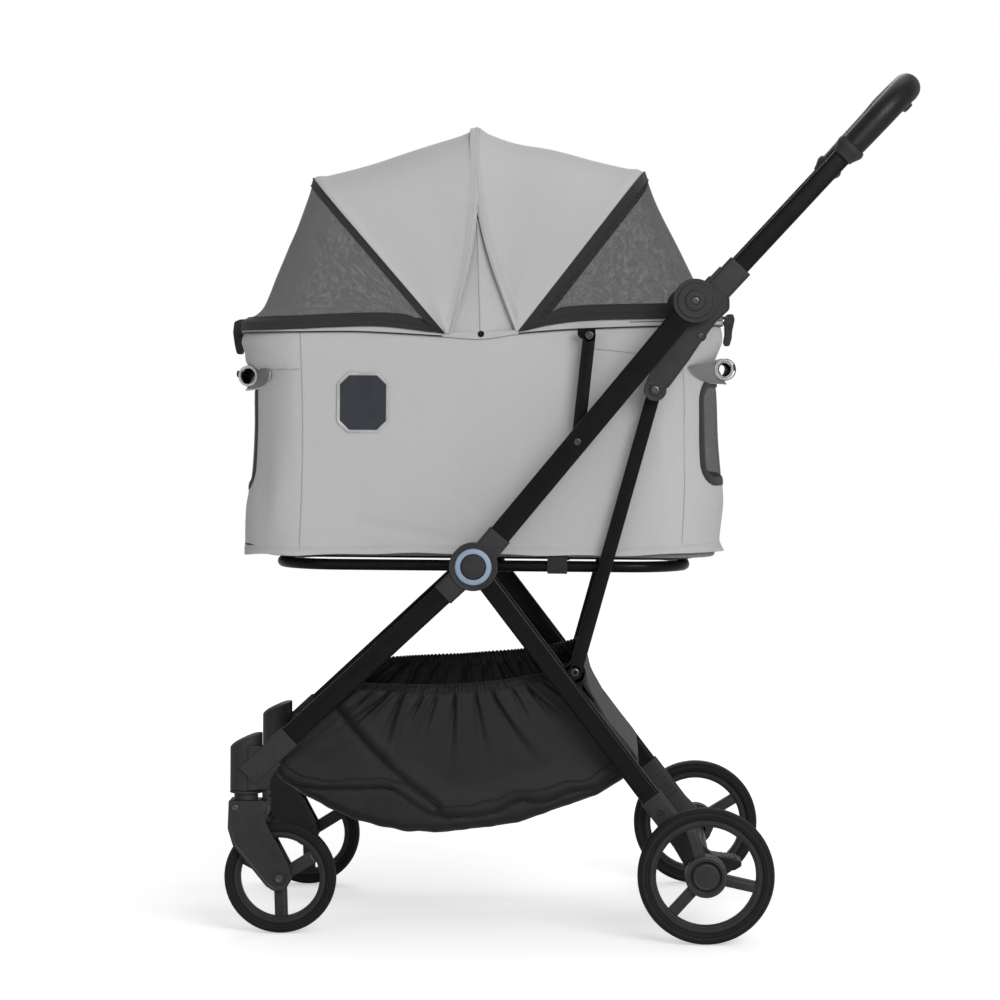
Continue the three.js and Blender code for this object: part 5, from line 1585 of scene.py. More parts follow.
for word in ("front", "rear"):
    s0, s1, z0, z1 = windowSize[word]
    reach = windowSize["binding"] * 0.5 / wallRound
    net = clothSheet(word + "_window_net", 60, 30, lambda u, v: wallAt(
        s1 + reach - u * (s1 - s0 + 2 * reach), z0 - 0.004 + v * (z1 - z0 + 0.008), -0.0009),
        ((s1 - s0 + 2 * reach) * wallRound, z1 - z0 + 0.008), 0.0003)
    followed(net, blackNet, "black_mesh")
    declareCloth(net, ["cabin_wall_cloth"])
    inner, outer = list(windowEdge(word, -0.0055)), list(windowEdge(word, 0.005))

    def onBinding(u, v):
        k = round(u * 96) % 96
        (sa, za), (sb, zb) = inner[k], outer[k]
        rise = 0.0007 * (1 - (2 * v - 1) ** 2)
        return wallAt(sb + (sa - sb) * v, zb + (za - zb) * v, 0.0006 + rise)
    edgeLength = 2 * ((s1 - s0) * wallRound + z1 - z0) + (2 * math.pi - 8) * windowSize["corner"]
    binding = clothSheet(word + "_window_binding", 96, 3, onBinding, (edgeLength, 0.0105), 0.0016, True)
    followed(binding, blackTape, "black_mesh")
    declareCloth(binding, ["cabin_wall_cloth"])

# seams, hem rows and the octagonal plate
seamLines = []
for flip in (nearShare, farShare):
    for x, low, high in ((-0.2185, 0.459, rimHeight + 0.001), (0.249, 0.462, rimHeight + 0.01)):
        seamLines.append([wallAt(flip(x + 0.004 * math.sin((z - 0.45) * 11)), z, 0.00015)
                          for z in [low + (high - low) * k / 60 for k in range(61)]])
    seamLines.append([wallAt(flip(-0.2185 - k * 0.003), 0.6826 + 0.0004 * math.sin(k), 0.00015)
                      for k in range(22)])
    seamLines.append([wallAt(flip(0.133 + k * 0.003), 0.7112 - 0.0003 * k, 0.00015)
                      for k in range(36)])
# the seam piping is a darker grey: painted shade along the seams
seams = join("cabin_wall_seams", [piping("seam", line, 0.00055, seamShadeCanvas) for line in seamLines])
followed(seams, seamShadeCanvas, "grey_fabric")


def roundRows(rise, lift=0.0003, count=700):
    points, normals = [], []
    for k in range(count + 1):
        share = k / count
        x, y, nx, ny = loopPlace(share, wallSize["halfX"], wallSize["halfY"], wallSize["corner"])
        points.append(wallAt(share, through(wallSize["hem"], x) + rise, lift))
        normals.append(Vector((nx, ny, 0)))
    return points, normals


hemStitches = stitches("cabin_hem_stitches", [roundRows(0.0065, 0.001), roundRows(0.0092, 0.0007)])
followed(hemStitches, threadGrey, "grey_fabric")

plateSize = {"low": (-0.173, 0.606), "high": (-0.109, 0.68), "cut": 0.0135, "edge": 0.004, "face": 0.0014}


def octagon(grow, y0, y1):
    (x0, z0), (x1, z1) = plateSize["low"], plateSize["high"]
    cut = plateSize["cut"] + grow * 0.6
    corners = []
    for x, z, sx, sz in ((x0, z0, 1, 1), (x1, z0, -1, 1), (x1, z1, -1, -1), (x0, z1, 1, -1)):
        x, z = cabinMiddle.x + x - sx * grow, z - sz * grow
        pair = [(x + sx * cut, z), (x, z + sz * cut)]
        corners += pair if sx * sz < 0 else pair[::-1]
    return plate(corners, y0, y1)


frameY = wallAt(nearShare(-0.141), 0.643).y
plateFrame = octagon(0, frameY + 0.0022, frameY - 0.0016)
insetFaces(plateFrame, lambda f: f.normal.y < -0.99, [(plateSize["edge"] * 0.85, 0), (0.0003, -0.0007)])
plateFrame = join("octagon_plate_frame", [soften(settle(plateFrame), 0.0005, 3)])
satinMetal = hardFinish("satin grey metal", (0.48, 0.475, 0.48), (0.4, 0.395, 0.4), (0.62, 0.62, 0.62),
                        0.38, 0.0004, 0.00001, metallic=0.35)
followed(plateFrame, satinMetal, "grey_fabric")
plateFace = octagon(-plateSize["edge"], frameY - 0.0006, frameY - 0.0014)
plateFace = join("octagon_plate_face", [soften(settle(plateFace), 0.0003)])
slateFace = hardFinish("slate badge face", (0.024, 0.028, 0.036), (0.02, 0.024, 0.031),
                       (0.06, 0.06, 0.07), 0.42,
                       0.0004, 0.00001, wear=0.2, specular=0.3)
followed(plateFace, slateFace, "black_plastic")
print("cabin walls made")

# ---- rolled window flaps ----
rollSize = {
    "outer": 0.0116, "inner": 0.009, "half": 0.113, "turns": 1.7,
    "front": {"height": 0.675, "out": 0.2866, "fold": (0.2648, 0.6815), "under": (0.266, 0.6625)},
    "rear": {"height": 0.6874, "out": 0.2987, "fold": (0.26, 0.6895), "under": (0.2765, 0.665)}}


# The roll hangs nearly straight; its middle is pushed out a little by the net.
def rollCentre(word, y):
    bow = 0.0045 * (1 - (y / 0.113) ** 2)
    sign = -1 if word == "front" else 1
    return cabinMiddle.x + sign * (rollSize[word]["out"] + bow)


# Smooth line drawn by four guide points.
def bowed(guides, count=13):
    line = []
    for k in range(count):
        row = list(guides)
        while len(row) > 1:
            row = [a.lerp(b, k / (count - 1)) for a, b in zip(row, row[1:])]
        line.append(row[0])
    return line


for word, sign in (("front", -1), ("rear", 1)):
    size, height = rollSize, rollSize[word]["height"]

    def onRoll(u, v):
        y = size["half"] * (2 * u - 1)
        angle = 2 * math.pi * size["turns"] * v + 0.6
        flat = 1 + 0.03 * math.sin(y * 90 + angle)
        radius = (size["inner"] + (size["outer"] - size["inner"]) * v) * flat
        radius += 0.0007 * noise.noise(Vector((y * 30, math.sin(angle) * 2, sign * 3)))
        sink = 0.0018 * math.sin(y * 24) ** 2
        return Vector((rollCentre(word, y) + sign * radius * 0.93 * math.cos(angle), y,
                       height - sink + radius * 1.03 * math.sin(angle)))
    length = size["turns"] * math.pi * (size["inner"] + size["outer"])
    roll = clothSheet(word + "_flap_roll", 40, 64, onRoll, (2 * size["half"], length), 0.0011)
    followed(roll, greyCanvas, "grey_fabric")
    declareCloth(roll, ["cabin_wall_cloth"])
    parts = []
    for side in (-1, 1):
        y = side * size["half"]
        ring = [Vector((rollCentre(word, y) + (size["outer"] - 0.0002) * 0.93 * math.cos(a), y,
                        height - 0.0008 + (size["outer"] - 0.0002) * 1.03 * math.sin(a)))
                for a in [2 * math.pi * k / 40 for k in range(40)]]
        parts.append(piping("ring", ring, 0.0012, greyCanvas, True))
    edging = join(word + "_flap_roll_edging", parts)
    followed(edging, greyCanvas, "grey_fabric")
    loops = []
    for y in (-0.056, 0.056):
        middle = rollCentre(word, y)
        band = [Vector((middle + sign * 0.0126 * math.cos(a), y, height - 0.001 + 0.0128 * math.sin(a)))
                for a in [-math.pi * 0.62 + 2 * math.pi * 0.62 * k / 30 for k in range(31)]]
        place = lambda u, v: band[round(u * 30)] + Vector((0, (v - 0.5) * 0.01, 0))
        loops.append(clothSheet("tie", 30, 3, place, (0.05, 0.01), 0.0009))
    for side in (-1, 1):
        y = side * (size["half"] - 0.004)
        knob = turnedAlong(Vector((rollCentre(word, y) + sign * (size["outer"] - 0.001), 0,
                                   height + 0.0015)), 90 - sign * 90, y,
                           [(0, 0), (0.0038, 0), (0.0042, 0.0014), (0.0034, 0.003), (0, 0.0036)], 28)
        loops.append(knob)
    ties = join(word + "_flap_ties", loops)
    followed(ties, blackTape, "black_fabric")

    # below the fold line the flap runs back from the roll to the wall, like a small leaf
    leafRows = []
    foldX, foldZ = rollSize[word]["fold"]
    underX, underZ = rollSize[word]["under"]
    for side in (-1, 1):
        flip = nearShare if side < 0 else farShare
        ax = rollCentre(word, side * size["half"])
        tip = wallAt(flip(sign * foldX), foldZ, 0.0008)
        top = [Vector((ax - sign * 0.012, side * (size["half"] - 0.006), height + 0.007)),
               Vector((ax - sign * 0.015, side * (size["half"] + 0.014), height + 0.008)),
               wallAt(flip(sign * (foldX + 0.01)), foldZ + 0.003, 0.002), tip]
        foot = [Vector((ax + sign * 0.0035, side * (size["half"] - 0.005), height - 0.0185)),
                Vector((ax - sign * 0.024, side * (size["half"] - 0.01), height - 0.017)),
                wallAt(flip(sign * underX), underZ + 0.004, 0.005), tip - Vector((0, 0, 0.0012))]
        upper, lower = bowed(top), bowed(foot)
        surface = surfaceBetween(upper, lower, lambda u, v: 0.0088 * math.sin(math.pi * u) * v * (1 - v),
                                 Vector((cabinMiddle.x, 0, height)))
        leafRows.append(lower)
        name = "%s_flap_corner_%s" % (word, "left" if side < 0 else "right")
        leaf = clothSheet(name, 10, 12, lambda u, v: surface(u, v)[0], (0.03, 0.058), 0.001)
        # the leaf takes the darker canvas: painted shade on its inner side
        followed(leaf, leafShadeCanvas, "grey_fabric")
        declareCloth(leaf, ["cabin_wall_cloth"])
    edge = join(word + "_flap_corner_edging",
                [piping("edge", row, 0.0009, greyCanvas) for row in leafRows])
    followed(edge, greyCanvas, "grey_fabric")
print("window flaps rolled")

# ---- canopy ----
canopy = {
    "half": 0.1662, "corner": 0.066, "rows": 73, "apex": 0.145,
    # offsets from the bow pivot: foot and tip of each arched edge
    "rearSeam": ((0.0464, 0.0036), (0.1975, 0.2)), "frontSeam": ((-0.0446, 0.0002), (-0.2092, 0.189)),
    "rearHem": ((0.0429, 0.0036), (-0.009, 0.253)), "frontHem": ((-0.0371, 0.0006), (-0.0101, 0.2505))}
canopyMiddle = bowPivot + Vector((0, 0, 0.06))


# Arched edge of a canopy cloth, from the near foot over the top to the far foot.
def archRow(name, bend=None, stand=0.0):
    (footX, footZ), (tipX, tipZ) = canopy[name]
    start = bowPivot + Vector((footX, 0, footZ))
    end = bowPivot + Vector((tipX, 0, tipZ))
    points = arch(start, angleOf(start, end), 0, (end - start).length, canopy["half"], canopy["corner"], 12)
    points = spread(points, canopy["rows"])
    for point in points:
        share = (point.z - start.z) / (end.z - start.z)
        if bend:
            point.x += bend(share)
        # below the crossing of the two roofs their edges stand off the frame
        low = 1 - smooth((point.z - bowPivot.z) / canopy["apex"])
        point.y += math.copysign(stand * math.sin(math.pi * min(1,
                                                                low * 1.3)) if low < 0.77 else 0, point.y)
    return points


rearHem = archRow("rearHem", lambda h: -0.0175 * math.sin(math.pi * h * 0.88), 0.0022)
rearSeam = archRow("rearSeam")
frontHem = archRow("frontHem", lambda h: 0.0155 * math.sin(math.pi * h * 0.95), 0.0006)
frontSeam = archRow("frontSeam")


def rearSag(u, v):
    c = math.sin(math.pi * v)
    wave = noise.noise(Vector((u * 2.4, v * 7, 2))) * 0.0024 * math.sin(math.pi * u)
    return (-0.0016 * math.sin(math.pi * u) * c - 0.0045 * hump(u, 0.26, 0.16) * c
            + 0.004 * hump(u, 0.038, 0.042) * c - 0.0016 * (1 - smooth(u / 0.016))
            + 0.0024 * hump(u, 0.955, 0.03) * c + wave)


def frontSag(u, v):
    wave = noise.noise(Vector((u * 2.4, v * 7, 9))) * 0.0024 * math.sin(math.pi * u)
    c = math.sin(math.pi * v)
    return (-0.0024 * math.sin(math.pi * u) * c + 0.003 * hump(u, 0.97, 0.03) * c
            + 0.0018 * (1 - smooth(u / 0.12)) + wave)


# each cloth is finished without a body, and its transform is baked into its mesh
def followBows(piece, material, slotName):
    finishPiece(piece, material, slotName, None)
    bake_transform(piece)
    return piece


followRear = lambda piece, material, slotName: followBows(
    piece, material, slotName)
followFront = lambda piece, material, slotName: followBows(
    piece, material, slotName)
followRearMesh = lambda piece, material, slotName: followBows(
    piece, material, slotName)


def followFrontMesh(piece, material, slotName):
    finishPiece(piece, material, slotName, "front_hoop")
    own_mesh(piece)
    return piece


def frontFlipped(at):
    return lambda u, v: at(u, 1 - v)[0]


rearRoofAt = surfaceBetween(rearHem, rearSeam, rearSag, canopyMiddle)
frontRoofAt = surfaceBetween(frontHem, frontSeam, frontSag, canopyMiddle)
for word, at, follow, node, rows, bows in (
        ("rear", rearRoofAt, followRear, "rear_roof", (rearHem, rearSeam),
         ["canopy_rear_bow", "canopy_mid_bow"]),
        ("front", frontRoofAt, followFront, "front_roof", (frontHem, frontSeam),
         ["canopy_mid_bow", "canopy_front_bow"])):
    place = frontFlipped(at) if word == "front" else lambda u, v: at(u, v)[0]
    roof = clothSheet(word + "_roof_cloth", 44, 150, place, (at.width(0.5), rowLength(rows[0])), 0.001)
    follow(roof, greyCanvas, "grey_fabric")
    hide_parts(node)
    declareCloth(roof, bows)
    hem = piping(word + "_roof_hem", [at(0, k / 140, -0.0004)[0] for k in range(141)], 0.0009, greyCanvas)
    follow(hem, greyCanvas, "grey_fabric")
    seam = piping(word + "_roof_seam_piping", [at(1, k / 140, 0.0003)[0] for k in range(141)],
                  0.0012, blackTape)
    follow(seam, blackTape, "black_fabric")
    threads = []
    for inset in ((0.0065, 0.01) if word == "rear" else (0.005, 0.0095)):
        line = [at(min(0.5, inset / max(at.width(k / 240), 0.02)), k / 240, 0.0003) for k in range(5, 236)]
        threads.append(([p for p, n in line], [n for p, n in line]))
    thread = stitches(word + "_roof_stitches", threads)
    follow(thread, threadGrey, "grey_fabric")
print("roofs made")

# gusset under the crossing roofs: one upright fold on each side
gusset = {"left": (-0.047, -0.0115, 0.1608), "ridge": (-0.001, -0.0058, 0.1637),
          "right": (0.051, 0.001, 0.1562), "top": 0.1385, "folded": 0.012}


# The gusset rides with the cabin rim and gets a mesh of its own.
def crumpled(piece, material, slotName):
    finishPiece(piece, material, slotName, "cabin_rim")
    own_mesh(piece)


# Place along one of the three upright lines of the gusset: (x, sideways) at height share v.
def gussetLine(name, v):
    low, high, out = gusset[name]
    return Vector((low + (high - low) * v, out))


for side, word in sides:
    def onGusset(u, v, lift=0.0):
        u = u if side < 0 else 1 - u
        first, second, t = ("left", "ridge", u * 2) if u < 0.5 else ("right", "ridge", (1 - u) * 2)
        x, out = gussetLine(first, v).lerp(gussetLine(second, v), t)
        out += lift - 0.0012 * math.sin(math.pi * t) * (1 - 0.5 * v) + 0.0005 * math.sin(v * 9 + u * 4)
        return bowPivot + Vector((x, side * out, 0.0006 + v * gusset["top"]))
    fan = clothSheet("canopy_gusset_" + word, 26, 36, onGusset, (0.108, 0.145), 0.0009)
    crumpled(fan, greyCanvas, "grey_fabric")
    declareCloth(fan, ["rear_roof_cloth", "front_roof_cloth"])
    ridge = [onGusset(0.5, k / 40, 0.0002) for k in range(41)]
    # the ridge piping is a darker grey: painted shade along the fold
    crumpled(piping("canopy_gusset_seam_" + word, ridge, 0.0006, seamShadeCanvas), seamShadeCanvas, "grey_fabric")

# ---- net windows between the bows and the rim ----
# Row along the zip, from the near foot round the end of the cabin to the far foot.
def rimRow(foot, count):
    a, b = nearShare(foot), farShare(foot)
    points = []
    for k in range(count):
        halfX = 0.2975 if foot < 0 else 0.303
        x, y = loopPlace(a + (b - a) * k / (count - 1), halfX, 0.1655, 0.087)[:2]
        points.append(Vector((cabinMiddle.x + x, y, rimHeight + through(wallSize["meshEdge"], x) + 0.0004)))
    return points


sagKnots = {
    "rear": [(0, 0), (0.18, 0.0058), (0.41, 0.0088), (0.71, 0.012), (0.88, 0.0135), (0.96, 0.0095), (1, 0)],
    "front": [(0, 0), (0.09, 0.0033), (0.18, 0.0055), (0.325, 0.008), (0.42, 0.008), (0.53, 0.009),
        (0.643, 0.0102), (0.726, 0.0117), (0.826, 0.012), (0.88, 0.0075), (0.92, 0.0003), (0.945, -0.0042),
        (1, 0)]}
pivotX = bowPivot.x - cabinMiddle.x
for word, seamRow, foot, follow, seed in (("rear", rearSeam, pivotX + 0.0464, followRearMesh, 2.8),
                                          ("front", frontSeam, pivotX - 0.0446, followFrontMesh, 4.0)):
    def meshSag(u, v):
        end = smooth((0.5 - abs(v - 0.5) - 0.24) / 0.16)
        puff = 0.0012 * noise.noise(Vector((u * 3, v * 9, seed))) * math.sin(math.pi * u)
        return -through(sagKnots[word], u) * (0.15 + 0.85 * end) + puff

    at = surfaceBetween(seamRow, rimRow(foot, canopy["rows"]), meshSag, canopyMiddle)
    turn = (lambda v: 1 - v) if word == "front" else (lambda v: v)
    length = rowLength(seamRow)
    net = clothSheet(word + "_window_mesh", 46, 150, lambda u, v: at(u, turn(v))[0],
                     (at.width(0.5), length), 0.0003)
    follow(net, blackNet, "black_mesh")
    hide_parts(word + "_mesh")
    declareCloth(net, ["canopy_%s_bow" % word, "cabin_wall_cloth"])
    hoopWide, rimWide = (0.008, 0.0175) if word == "front" else (0.0098, 0.02)
    hoopBand = lambda v: min(0.46, hoopWide / max(at.width(v), 0.02))
    rimBand = lambda v: 1 - min(0.46, rimWide / max(at.width(v), 0.02))
    for label, place, wide in (("hoop", lambda u, v: at(u * hoopBand(v), v, 0.0011)[0], hoopWide),
                               ("rim", lambda u, v: at(rimBand(v) + u * (1 - rimBand(v)), v,
                                                       0.0012)[0], rimWide)):
        band = clothSheet("%s_mesh_%s_binding" % (word, label), 5, 150, lambda u, v: place(u, turn(v)),
                          (max(wide, 0.011), length), 0.0009)
        follow(band, blackTape, "black_fabric")
        declareCloth(band, [word + "_window_mesh"])
    lines = []
    for edge in (hoopBand, lambda v: 1 - (1 - rimBand(v)) * 0.5, rimBand, lambda v: 0.998):
        lines.append(piping("line", [at(edge(k / 150), k / 150, 0.0012)[0] for k in range(3, 148)],
                            0.0007, blackTape))
    lines = join(word + "_mesh_piping", lines)
    follow(lines, blackTape, "black_fabric")


# The zip tape lies on the rim, below the net: its place along the cabin and its lower and upper edge.
def zipEdges(share):
    x = loopPlace(share, wallSize["halfX"], wallSize["halfY"], wallSize["corner"])[0]
    low = through(wallSize["top"], x)
    return x, low - 0.0022, max(low + 0.0006, through(wallSize["meshEdge"], x) + 0.0016)


def onTape(u, v):
    x, low, high = zipEdges(1 - u)
    return wallAt(1 - u, rimHeight + low + (high - low) * v, 0.002 + 0.0004 * math.sin(math.pi * v))


tape = clothSheet("zip_tape", 260, 3, onTape, (wallRound, 0.0145), 0.001, True)
finishPiece(tape, greyCanvas, "grey_fabric", "cabin_rim")
declareCloth(tape, ["cabin_wall_cloth"])
# the teeth run round each end of the cabin and stop beside the gussets
lines = []
for low, high, count in ((0.048, 0.5 * wallRound - 0.048, 2),
                         (0.5 * wallRound + 0.045, wallRound - 0.045, 1)):
    run = [(low + (high - low) * k / 180) / wallRound for k in range(181)]
    for share, lift, radius, end in ((0.0, 0.0022, 0.0008, 0), (0.58, 0.0024, 0.0005, 32))[:count]:
        line = []
        for place in run[end:len(run) - end]:
            x, lower, upper = zipEdges(place)
            rise = lower * (1 - share) + upper * share + (0 if share else 0.0008)
            line.append(wallAt(place, rimHeight + rise, lift))
        lines.append(piping("line", line, radius, blackTape))
assemble("zip_teeth", lines, blackTape, "black_fabric", "cabin_rim")
print("net windows made")

# ---- mat and straps ----
matLow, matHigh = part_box("mat")
matHalf = (matHigh - matLow) / 2
mat = slab("floor_mat", matHalf.x - 0.001, matHalf.y - 0.001, 0.074, matLow.z + 0.0005, matHigh.z - 0.003)
insetFaces(mat, lambda f: f.normal.z > 0.9, [(0.004, 0.0015), (0.012, 0.0012), (0.03, 0.0008)])
settle(mat, 60)
assemble("floor_mat", [soften(mat, 0.005, 4, 40)], matCloth, "mat_fabric", "cabin_base", "mat")
matPiping = join("floor_mat_piping", [piping("edge", loopPoints(
    2 * matHalf.x - 0.003, 2 * matHalf.y - 0.003, 0.073, (matLow.z + matHigh.z) / 2), 0.0022,
    blackTape, True)])
finishPiece(matPiping, blackTape, "mat_fabric", "cabin_base")

strapPath = [(0.16, 0.464), (0.1602, 0.451), (0.1592, 0.4425), (0.1558, 0.4374), (0.15, 0.4358),
             (0.1446, 0.438), (0.142, 0.4434), (0.142, 0.452)]
for side, word in sides:
    path = spread([Vector((cabinMiddle.x + 0.0969, side * y, z)) for y, z in strapPath], 25)
    strap = clothSheet("loop_strap_" + word, 24, 4, lambda u, v: path[round(u * 24)] + Vector(
        (-side * (v - 0.5) * 0.024, 0, 0)), (rowLength(path), 0.024), 0.0012)
    finishPiece(strap, blackTape, "black_fabric", "cabin_base")
    declareCloth(strap, ["base_loop_painted"])
print("mat and straps made")

# ---- storage basket ----
# (along, height) points of the side view, measured from the hub
basketSize = {
    "half": 0.156, "round": 0.013, "casing": 0.0115, "nearSag": 0.0098, "farRise": 0.003,
    "rim": [(-0.164, -0.1435), (-0.13, -0.144), (-0.091, -0.1415), (-0.03, -0.139), (0.034, -0.1335),
        (0.08, -0.128), (0.112, -0.119), (0.1305, -0.112)],
    "belt": [(-0.164, -0.1435), (-0.205, -0.199), (-0.2465, -0.2575), (-0.238, -0.268), (-0.206, -0.288),
        (-0.163, -0.3093), (-0.139, -0.3188), (-0.0895, -0.3293), (-0.0405, -0.3312), (0.057, -0.3178),
        (0.1546, -0.2811), (0.19, -0.257), (0.205, -0.241), (0.1915, -0.223), (0.1615, -0.188),
        (0.14, -0.15), (0.1345, -0.124), (0.1305, -0.112)],
    "slant": [(-0.1714, -0.1764), (-0.1467, -0.2074), (-0.1184, -0.2385), (-0.0867, -0.2663),
        (-0.0457, -0.2971)]}


def basketLine(name, count=97):
    corners = [Vector((hub.x + x, 0, hub.z + z)) for x, z in basketSize[name]]
    points = spread(corners, 240)
    for turn in range(6):
        middle = [(a + b * 2 + c) / 4 for a, b, c in zip(points, points[1:], points[2:])]
        points = [points[0], *middle, points[-1]]
    return spread(points, count)


basketRim, basketBelt = basketLine("rim"), basketLine("belt")
basketSlant = basketLine("slant", 18)
# height of the tight lower band along the basket
bandKnots = [
    (0.0, 0.003), (0.1, 0.004), (0.176, 0.005), (0.236, 0.017), (0.294, 0.038), (0.352, 0.054),
    (0.389, 0.05), (0.452, 0.029), (0.512, 0.022), (0.556, 0.023), (0.6, 0.032), (0.643, 0.02),
    (0.686, 0.021), (0.74, 0.014), (0.8, 0.016), (0.9, 0.01), (1.0, 0.002)]
# each gather below the casing: place along the rim, lean, length, depth
gathers, spot = [], 0.02
while spot < 0.6:
    shape = [random.uniform(*span) for span in ((-0.28, 0.28), (0.03, 0.078), (0.0036, 0.0076))]
    gathers.append((spot, *shape))
    spot += random.uniform(0.03, 0.056)


# Signed distance from the slanting fold: above it counts as positive.
def pastSlant(point):
    best, result = 1.0, 1.0
    for a, b in zip(basketSlant, basketSlant[1:]):
        ahead = b - a
        t = max(0.0, min(1.0, (point - a).dot(ahead) / ahead.length_squared))
        gap = (point - a - ahead * t).length
        if gap < best:
            best, result = gap, math.copysign(gap, (point - a).x * -ahead.z + (point - a).z * ahead.x)
    return result


# Place on the basket: v runs down the near side, across the bottom and up the far side.
def basketAt(u, v, lift=0.0):
    near = v <= 0.5
    w = v if near else 1 - v
    place = u * 96
    i = min(int(place), 95)
    top = basketRim[i].lerp(basketRim[i + 1], place - i)
    arched = math.sin(math.pi * u) ** 0.8
    top.z += (-basketSize["nearSag"] if near else basketSize["farRise"]) * arched
    foot = basketBelt[i].lerp(basketBelt[i + 1], place - i)
    drop = (foot - top).length
    down = (foot - top).normalized() if drop > 1e-6 else Vector((0, 0, -1))
    bend = min(basketSize["round"], drop * 0.45)
    side = basketSize["half"]
    depth = max(0.0, drop - bend)
    if w < 0.3:
        travel = depth * w / 0.3
        point, out = top + down * travel, side
        normal = Vector((0, -1, 0))
    elif w < 0.36:
        turn = (w - 0.3) / 0.06 * math.pi / 2
        travel = depth + bend * turn
        point, out = top + down * (depth + bend * math.sin(turn)), side - bend + bend * math.cos(turn)
        normal = Vector((0, -math.cos(turn), 0)) + down * math.sin(turn)
    else:
        travel = depth + bend * math.pi / 2
        point, out = foot.copy(), (side - bend) * (1 - (w - 0.36) / 0.14)
        normal = down.copy()
    fade = math.sin(math.pi * min(1, u / 0.06) / 2) * math.sin(math.pi * min(1, (1 - u) / 0.05) / 2)
    move = 0.0
    if w < 0.36:
        run = u * 0.62
        casing = basketSize["casing"]
        ruffle = math.sin(2 * math.pi * run / 0.0092 + 2.2 * math.sin(run * 41))
        below = max(0.0, travel - casing)
        move += 0.0012 * ruffle * (1 - smooth(below / 0.006)) - 0.0014 * hump(travel, casing, 0.002)
        point.z += 0.0009 * ruffle * (1 - smooth(travel / 0.008)) * fade
        # gathers: creases that open and fade on the way down
        for spot, lean, length, deep in gathers:
            off = run - spot - lean * below
            if abs(off) < 0.03 and below < length * 2.2:
                shape = hump(off, 0, 0.0032 + 0.075 * below)
                shape -= 0.6 * hump(off, 0.008 + 0.1 * below, 0.006 + 0.03 * below)
                move -= deep * shape * smooth(below / 0.004) * math.exp(-(below / length) ** 2)
        # the full upper cloth hangs over the tight lower band
        seamAt = depth + bend * 1.2 - through(bandKnots, u)
        over = travel - seamAt
        belly = math.sin(math.pi * max(0.0, min(1.0, travel / max(seamAt, 0.02))))
        move += 0.0036 * belly * (1 + math.sin(run * 62 + 1.0 + travel * 9)) * 0.5
        pouch = smooth((over + 0.04) / 0.034) * (1 - smooth((over + 0.0005) / 0.004))
        move += 0.006 * pouch * smooth(seamAt / 0.06)
        move -= 0.0024 * hump(over, 0.0035, 0.003)
        move += 0.0009 * math.sin(run * 2 * math.pi / 0.027 + travel * 25) * smooth(over / 0.006)
        move += 0.0019 * noise.noise(Vector((run * 16, travel * 14, 4 if near else 8)))
        # the long slanting fold at the front
        off = pastSlant(point)
        move += 0.005 * hump(off, 0.013, 0.01) - 0.006 * hump(off, -0.001, 0.005)
    else:
        move += 0.0022 * noise.noise(Vector((point.x * 17, out * 15, 2)))
    point = point + normal * (move * fade * 0.8 + lift)
    point.y = (-out if near else out) + (point.y if near else -point.y)
    return point


basket = clothSheet("storage_basket_cloth", 220, 150, lambda u, v: basketAt(u, 1 - v),
                    (0.72, 0.78), 0.001, True)


def followFold(piece, material, slotName):
    finishPiece(piece, material, slotName, "chassis")
    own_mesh(piece)
    return piece


followFold(basket, blackSatin, "black_fabric")
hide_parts("storage_basket")
declareCloth(basket, ["left_front_leg", "left_rear_leg"])
threads = []
for down in (0.003, 0.01):
    for mirror in (False, True):
        line = []
        for k in range(12, 280):
            u = k / 290
            drop = (basketBelt[min(96, round(u * 96))] - basketRim[min(96, round(u * 96))]).length
            w = 0.3 * down / max(0.02, drop - basketSize["round"])
            if w < 0.2:
                line.append(basketAt(u, 1 - w if mirror else w, 0.0005))
        threads.append((line, [Vector((0, 1 if mirror else -1, 0))] * len(line)))
followFold(stitches("basket_casing_stitches", threads), threadBlack, "black_fabric")
edges = []
for mirror in (False, True):
    points = []
    for k in range(2, 286):
        u = k / 290
        i = min(96, round(u * 96))
        depth = (basketBelt[i] - basketRim[i]).length
        bend = min(basketSize["round"], depth * 0.45)
        wave = 0.0016 * math.sin(k * 0.19) + 0.0011 * math.sin(k * 0.43)
        down = depth - bend * 0.8 - through(bandKnots, u) + wave
        w = min(0.3, 0.3 * max(0.0, down) / max(0.004, depth - bend))
        points.append(basketAt(u, 1 - w if mirror else w, 0.0004))
    edges.append(piping("edge", points, 0.0011, blackSatin))
    edges.append(piping("edge", [basketAt(k / 290, 0.999 if mirror else 0.001, 0.0) for k in range(4, 286)],
                        0.0012, blackSatin))
followFold(join("basket_seam_piping", edges), blackSatin, "black_fabric")
print("basket made")

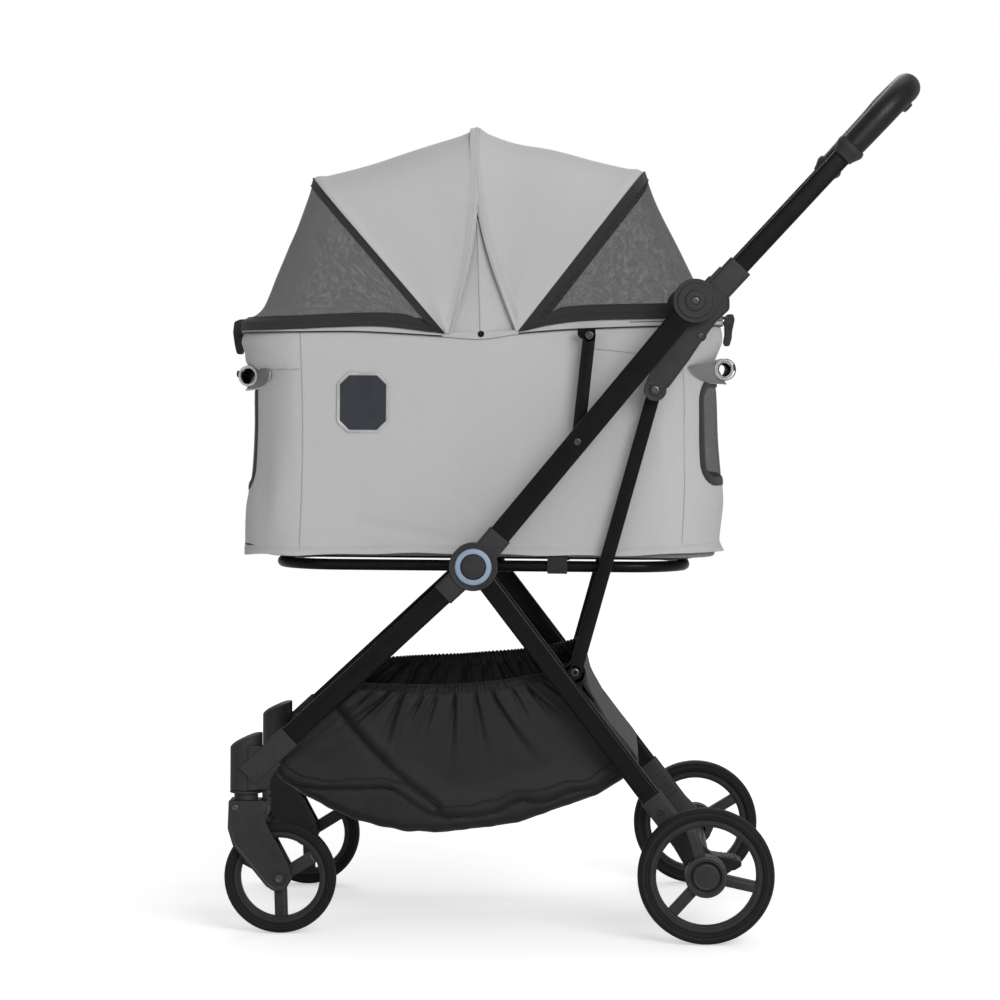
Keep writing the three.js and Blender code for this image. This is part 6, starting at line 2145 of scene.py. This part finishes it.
# ---- floor and lights ----
studio = {
    "floor": 14.0, "floorLevel": -0.0004, "floorColour": (0.8, 0.8, 0.8), "floorGlow": (0.48, 0.68),
    "glowReach": (0.9, 2.6), "worldLight": 0.42,
    # place, aim, width, height, power
    "lamps": [((1.4, -3.3, 1.9), (0.0, 0.0, 0.5), 2.0, 1.6, 80.0),
        ((-1.6, -3.2, 1.3), (0.0, 0.0, 0.5), 1.6, 1.4, 6.0),
        ((0.1, 0.8, 3.3), (0.0, 0.0, 0.6), 2.4, 1.6, 14.0),
        ((-0.3, 3.0, 2.7), (0.0, 0.0, 0.4), 2.0, 1.4, 24.0)]}


def makeFloor():
    choose()
    bpy.ops.mesh.primitive_plane_add(size=studio["floor"], location=(0, 0, studio["floorLevel"]))
    floor = bpy.context.object
    floor.name = "studio_floor"
    edit(floor, action="SELECT")
    bpy.ops.mesh.subdivide(number_cuts=2)
    bpy.ops.object.mode_set(mode="OBJECT")
    material, tree, shader, where = startMaterial("pale studio floor")
    # the glow grows with distance, so that the floor fades into the white beyond it
    far = vectorCalc(tree, "LENGTH", put(tree, "NewGeometry").outputs["Position"])
    glow = mapped(tree, far, *studio["glowReach"], *studio["floorGlow"])
    seen = put(tree, "LightPath").outputs["Is Camera Ray"]
    fill(tree, shader, Base_Color=(*studio["floorColour"], 1), Roughness=0.9, Specular_IOR_Level=0.0,
         Emission_Color=(1, 1, 1, 1), Emission_Strength=calc(tree, "MULTIPLY", seen, glow))
    floor.data.materials.append(material)


def makeWorld():
    world = bpy.data.worlds.new("white studio")
    bpy.context.scene.world = world
    world.use_nodes = True
    tree = world.node_tree
    tree.nodes.clear()
    rays = put(tree, "LightPath").outputs
    seen = calc(tree, "MAXIMUM", rays["Is Camera Ray"], rays["Is Transmission Ray"])
    strength = calc(tree, "ADD", studio["worldLight"],
                    calc(tree, "MULTIPLY", seen, 1.0 - studio["worldLight"]))
    glow = fill(tree, put(tree, "Background"), Color=(1, 1, 1, 1), Strength=strength)
    feed(tree, glow.outputs[0], put(tree, "OutputWorld").inputs["Surface"])


def makeLamps():
    for place, aim, width, height, power in studio["lamps"]:
        bpy.ops.object.light_add(type="AREA", location=place)
        lamp = bpy.context.object
        lamp.data.shape = "RECTANGLE"
        lamp.data.size, lamp.data.size_y = width, height
        lamp.data.energy = power
        direction = Vector(aim) - Vector(place)
        lamp.rotation_euler = direction.to_track_quat("-Z", "Y").to_euler()


makeFloor()
makeWorld()
makeLamps()
print("stage lit")
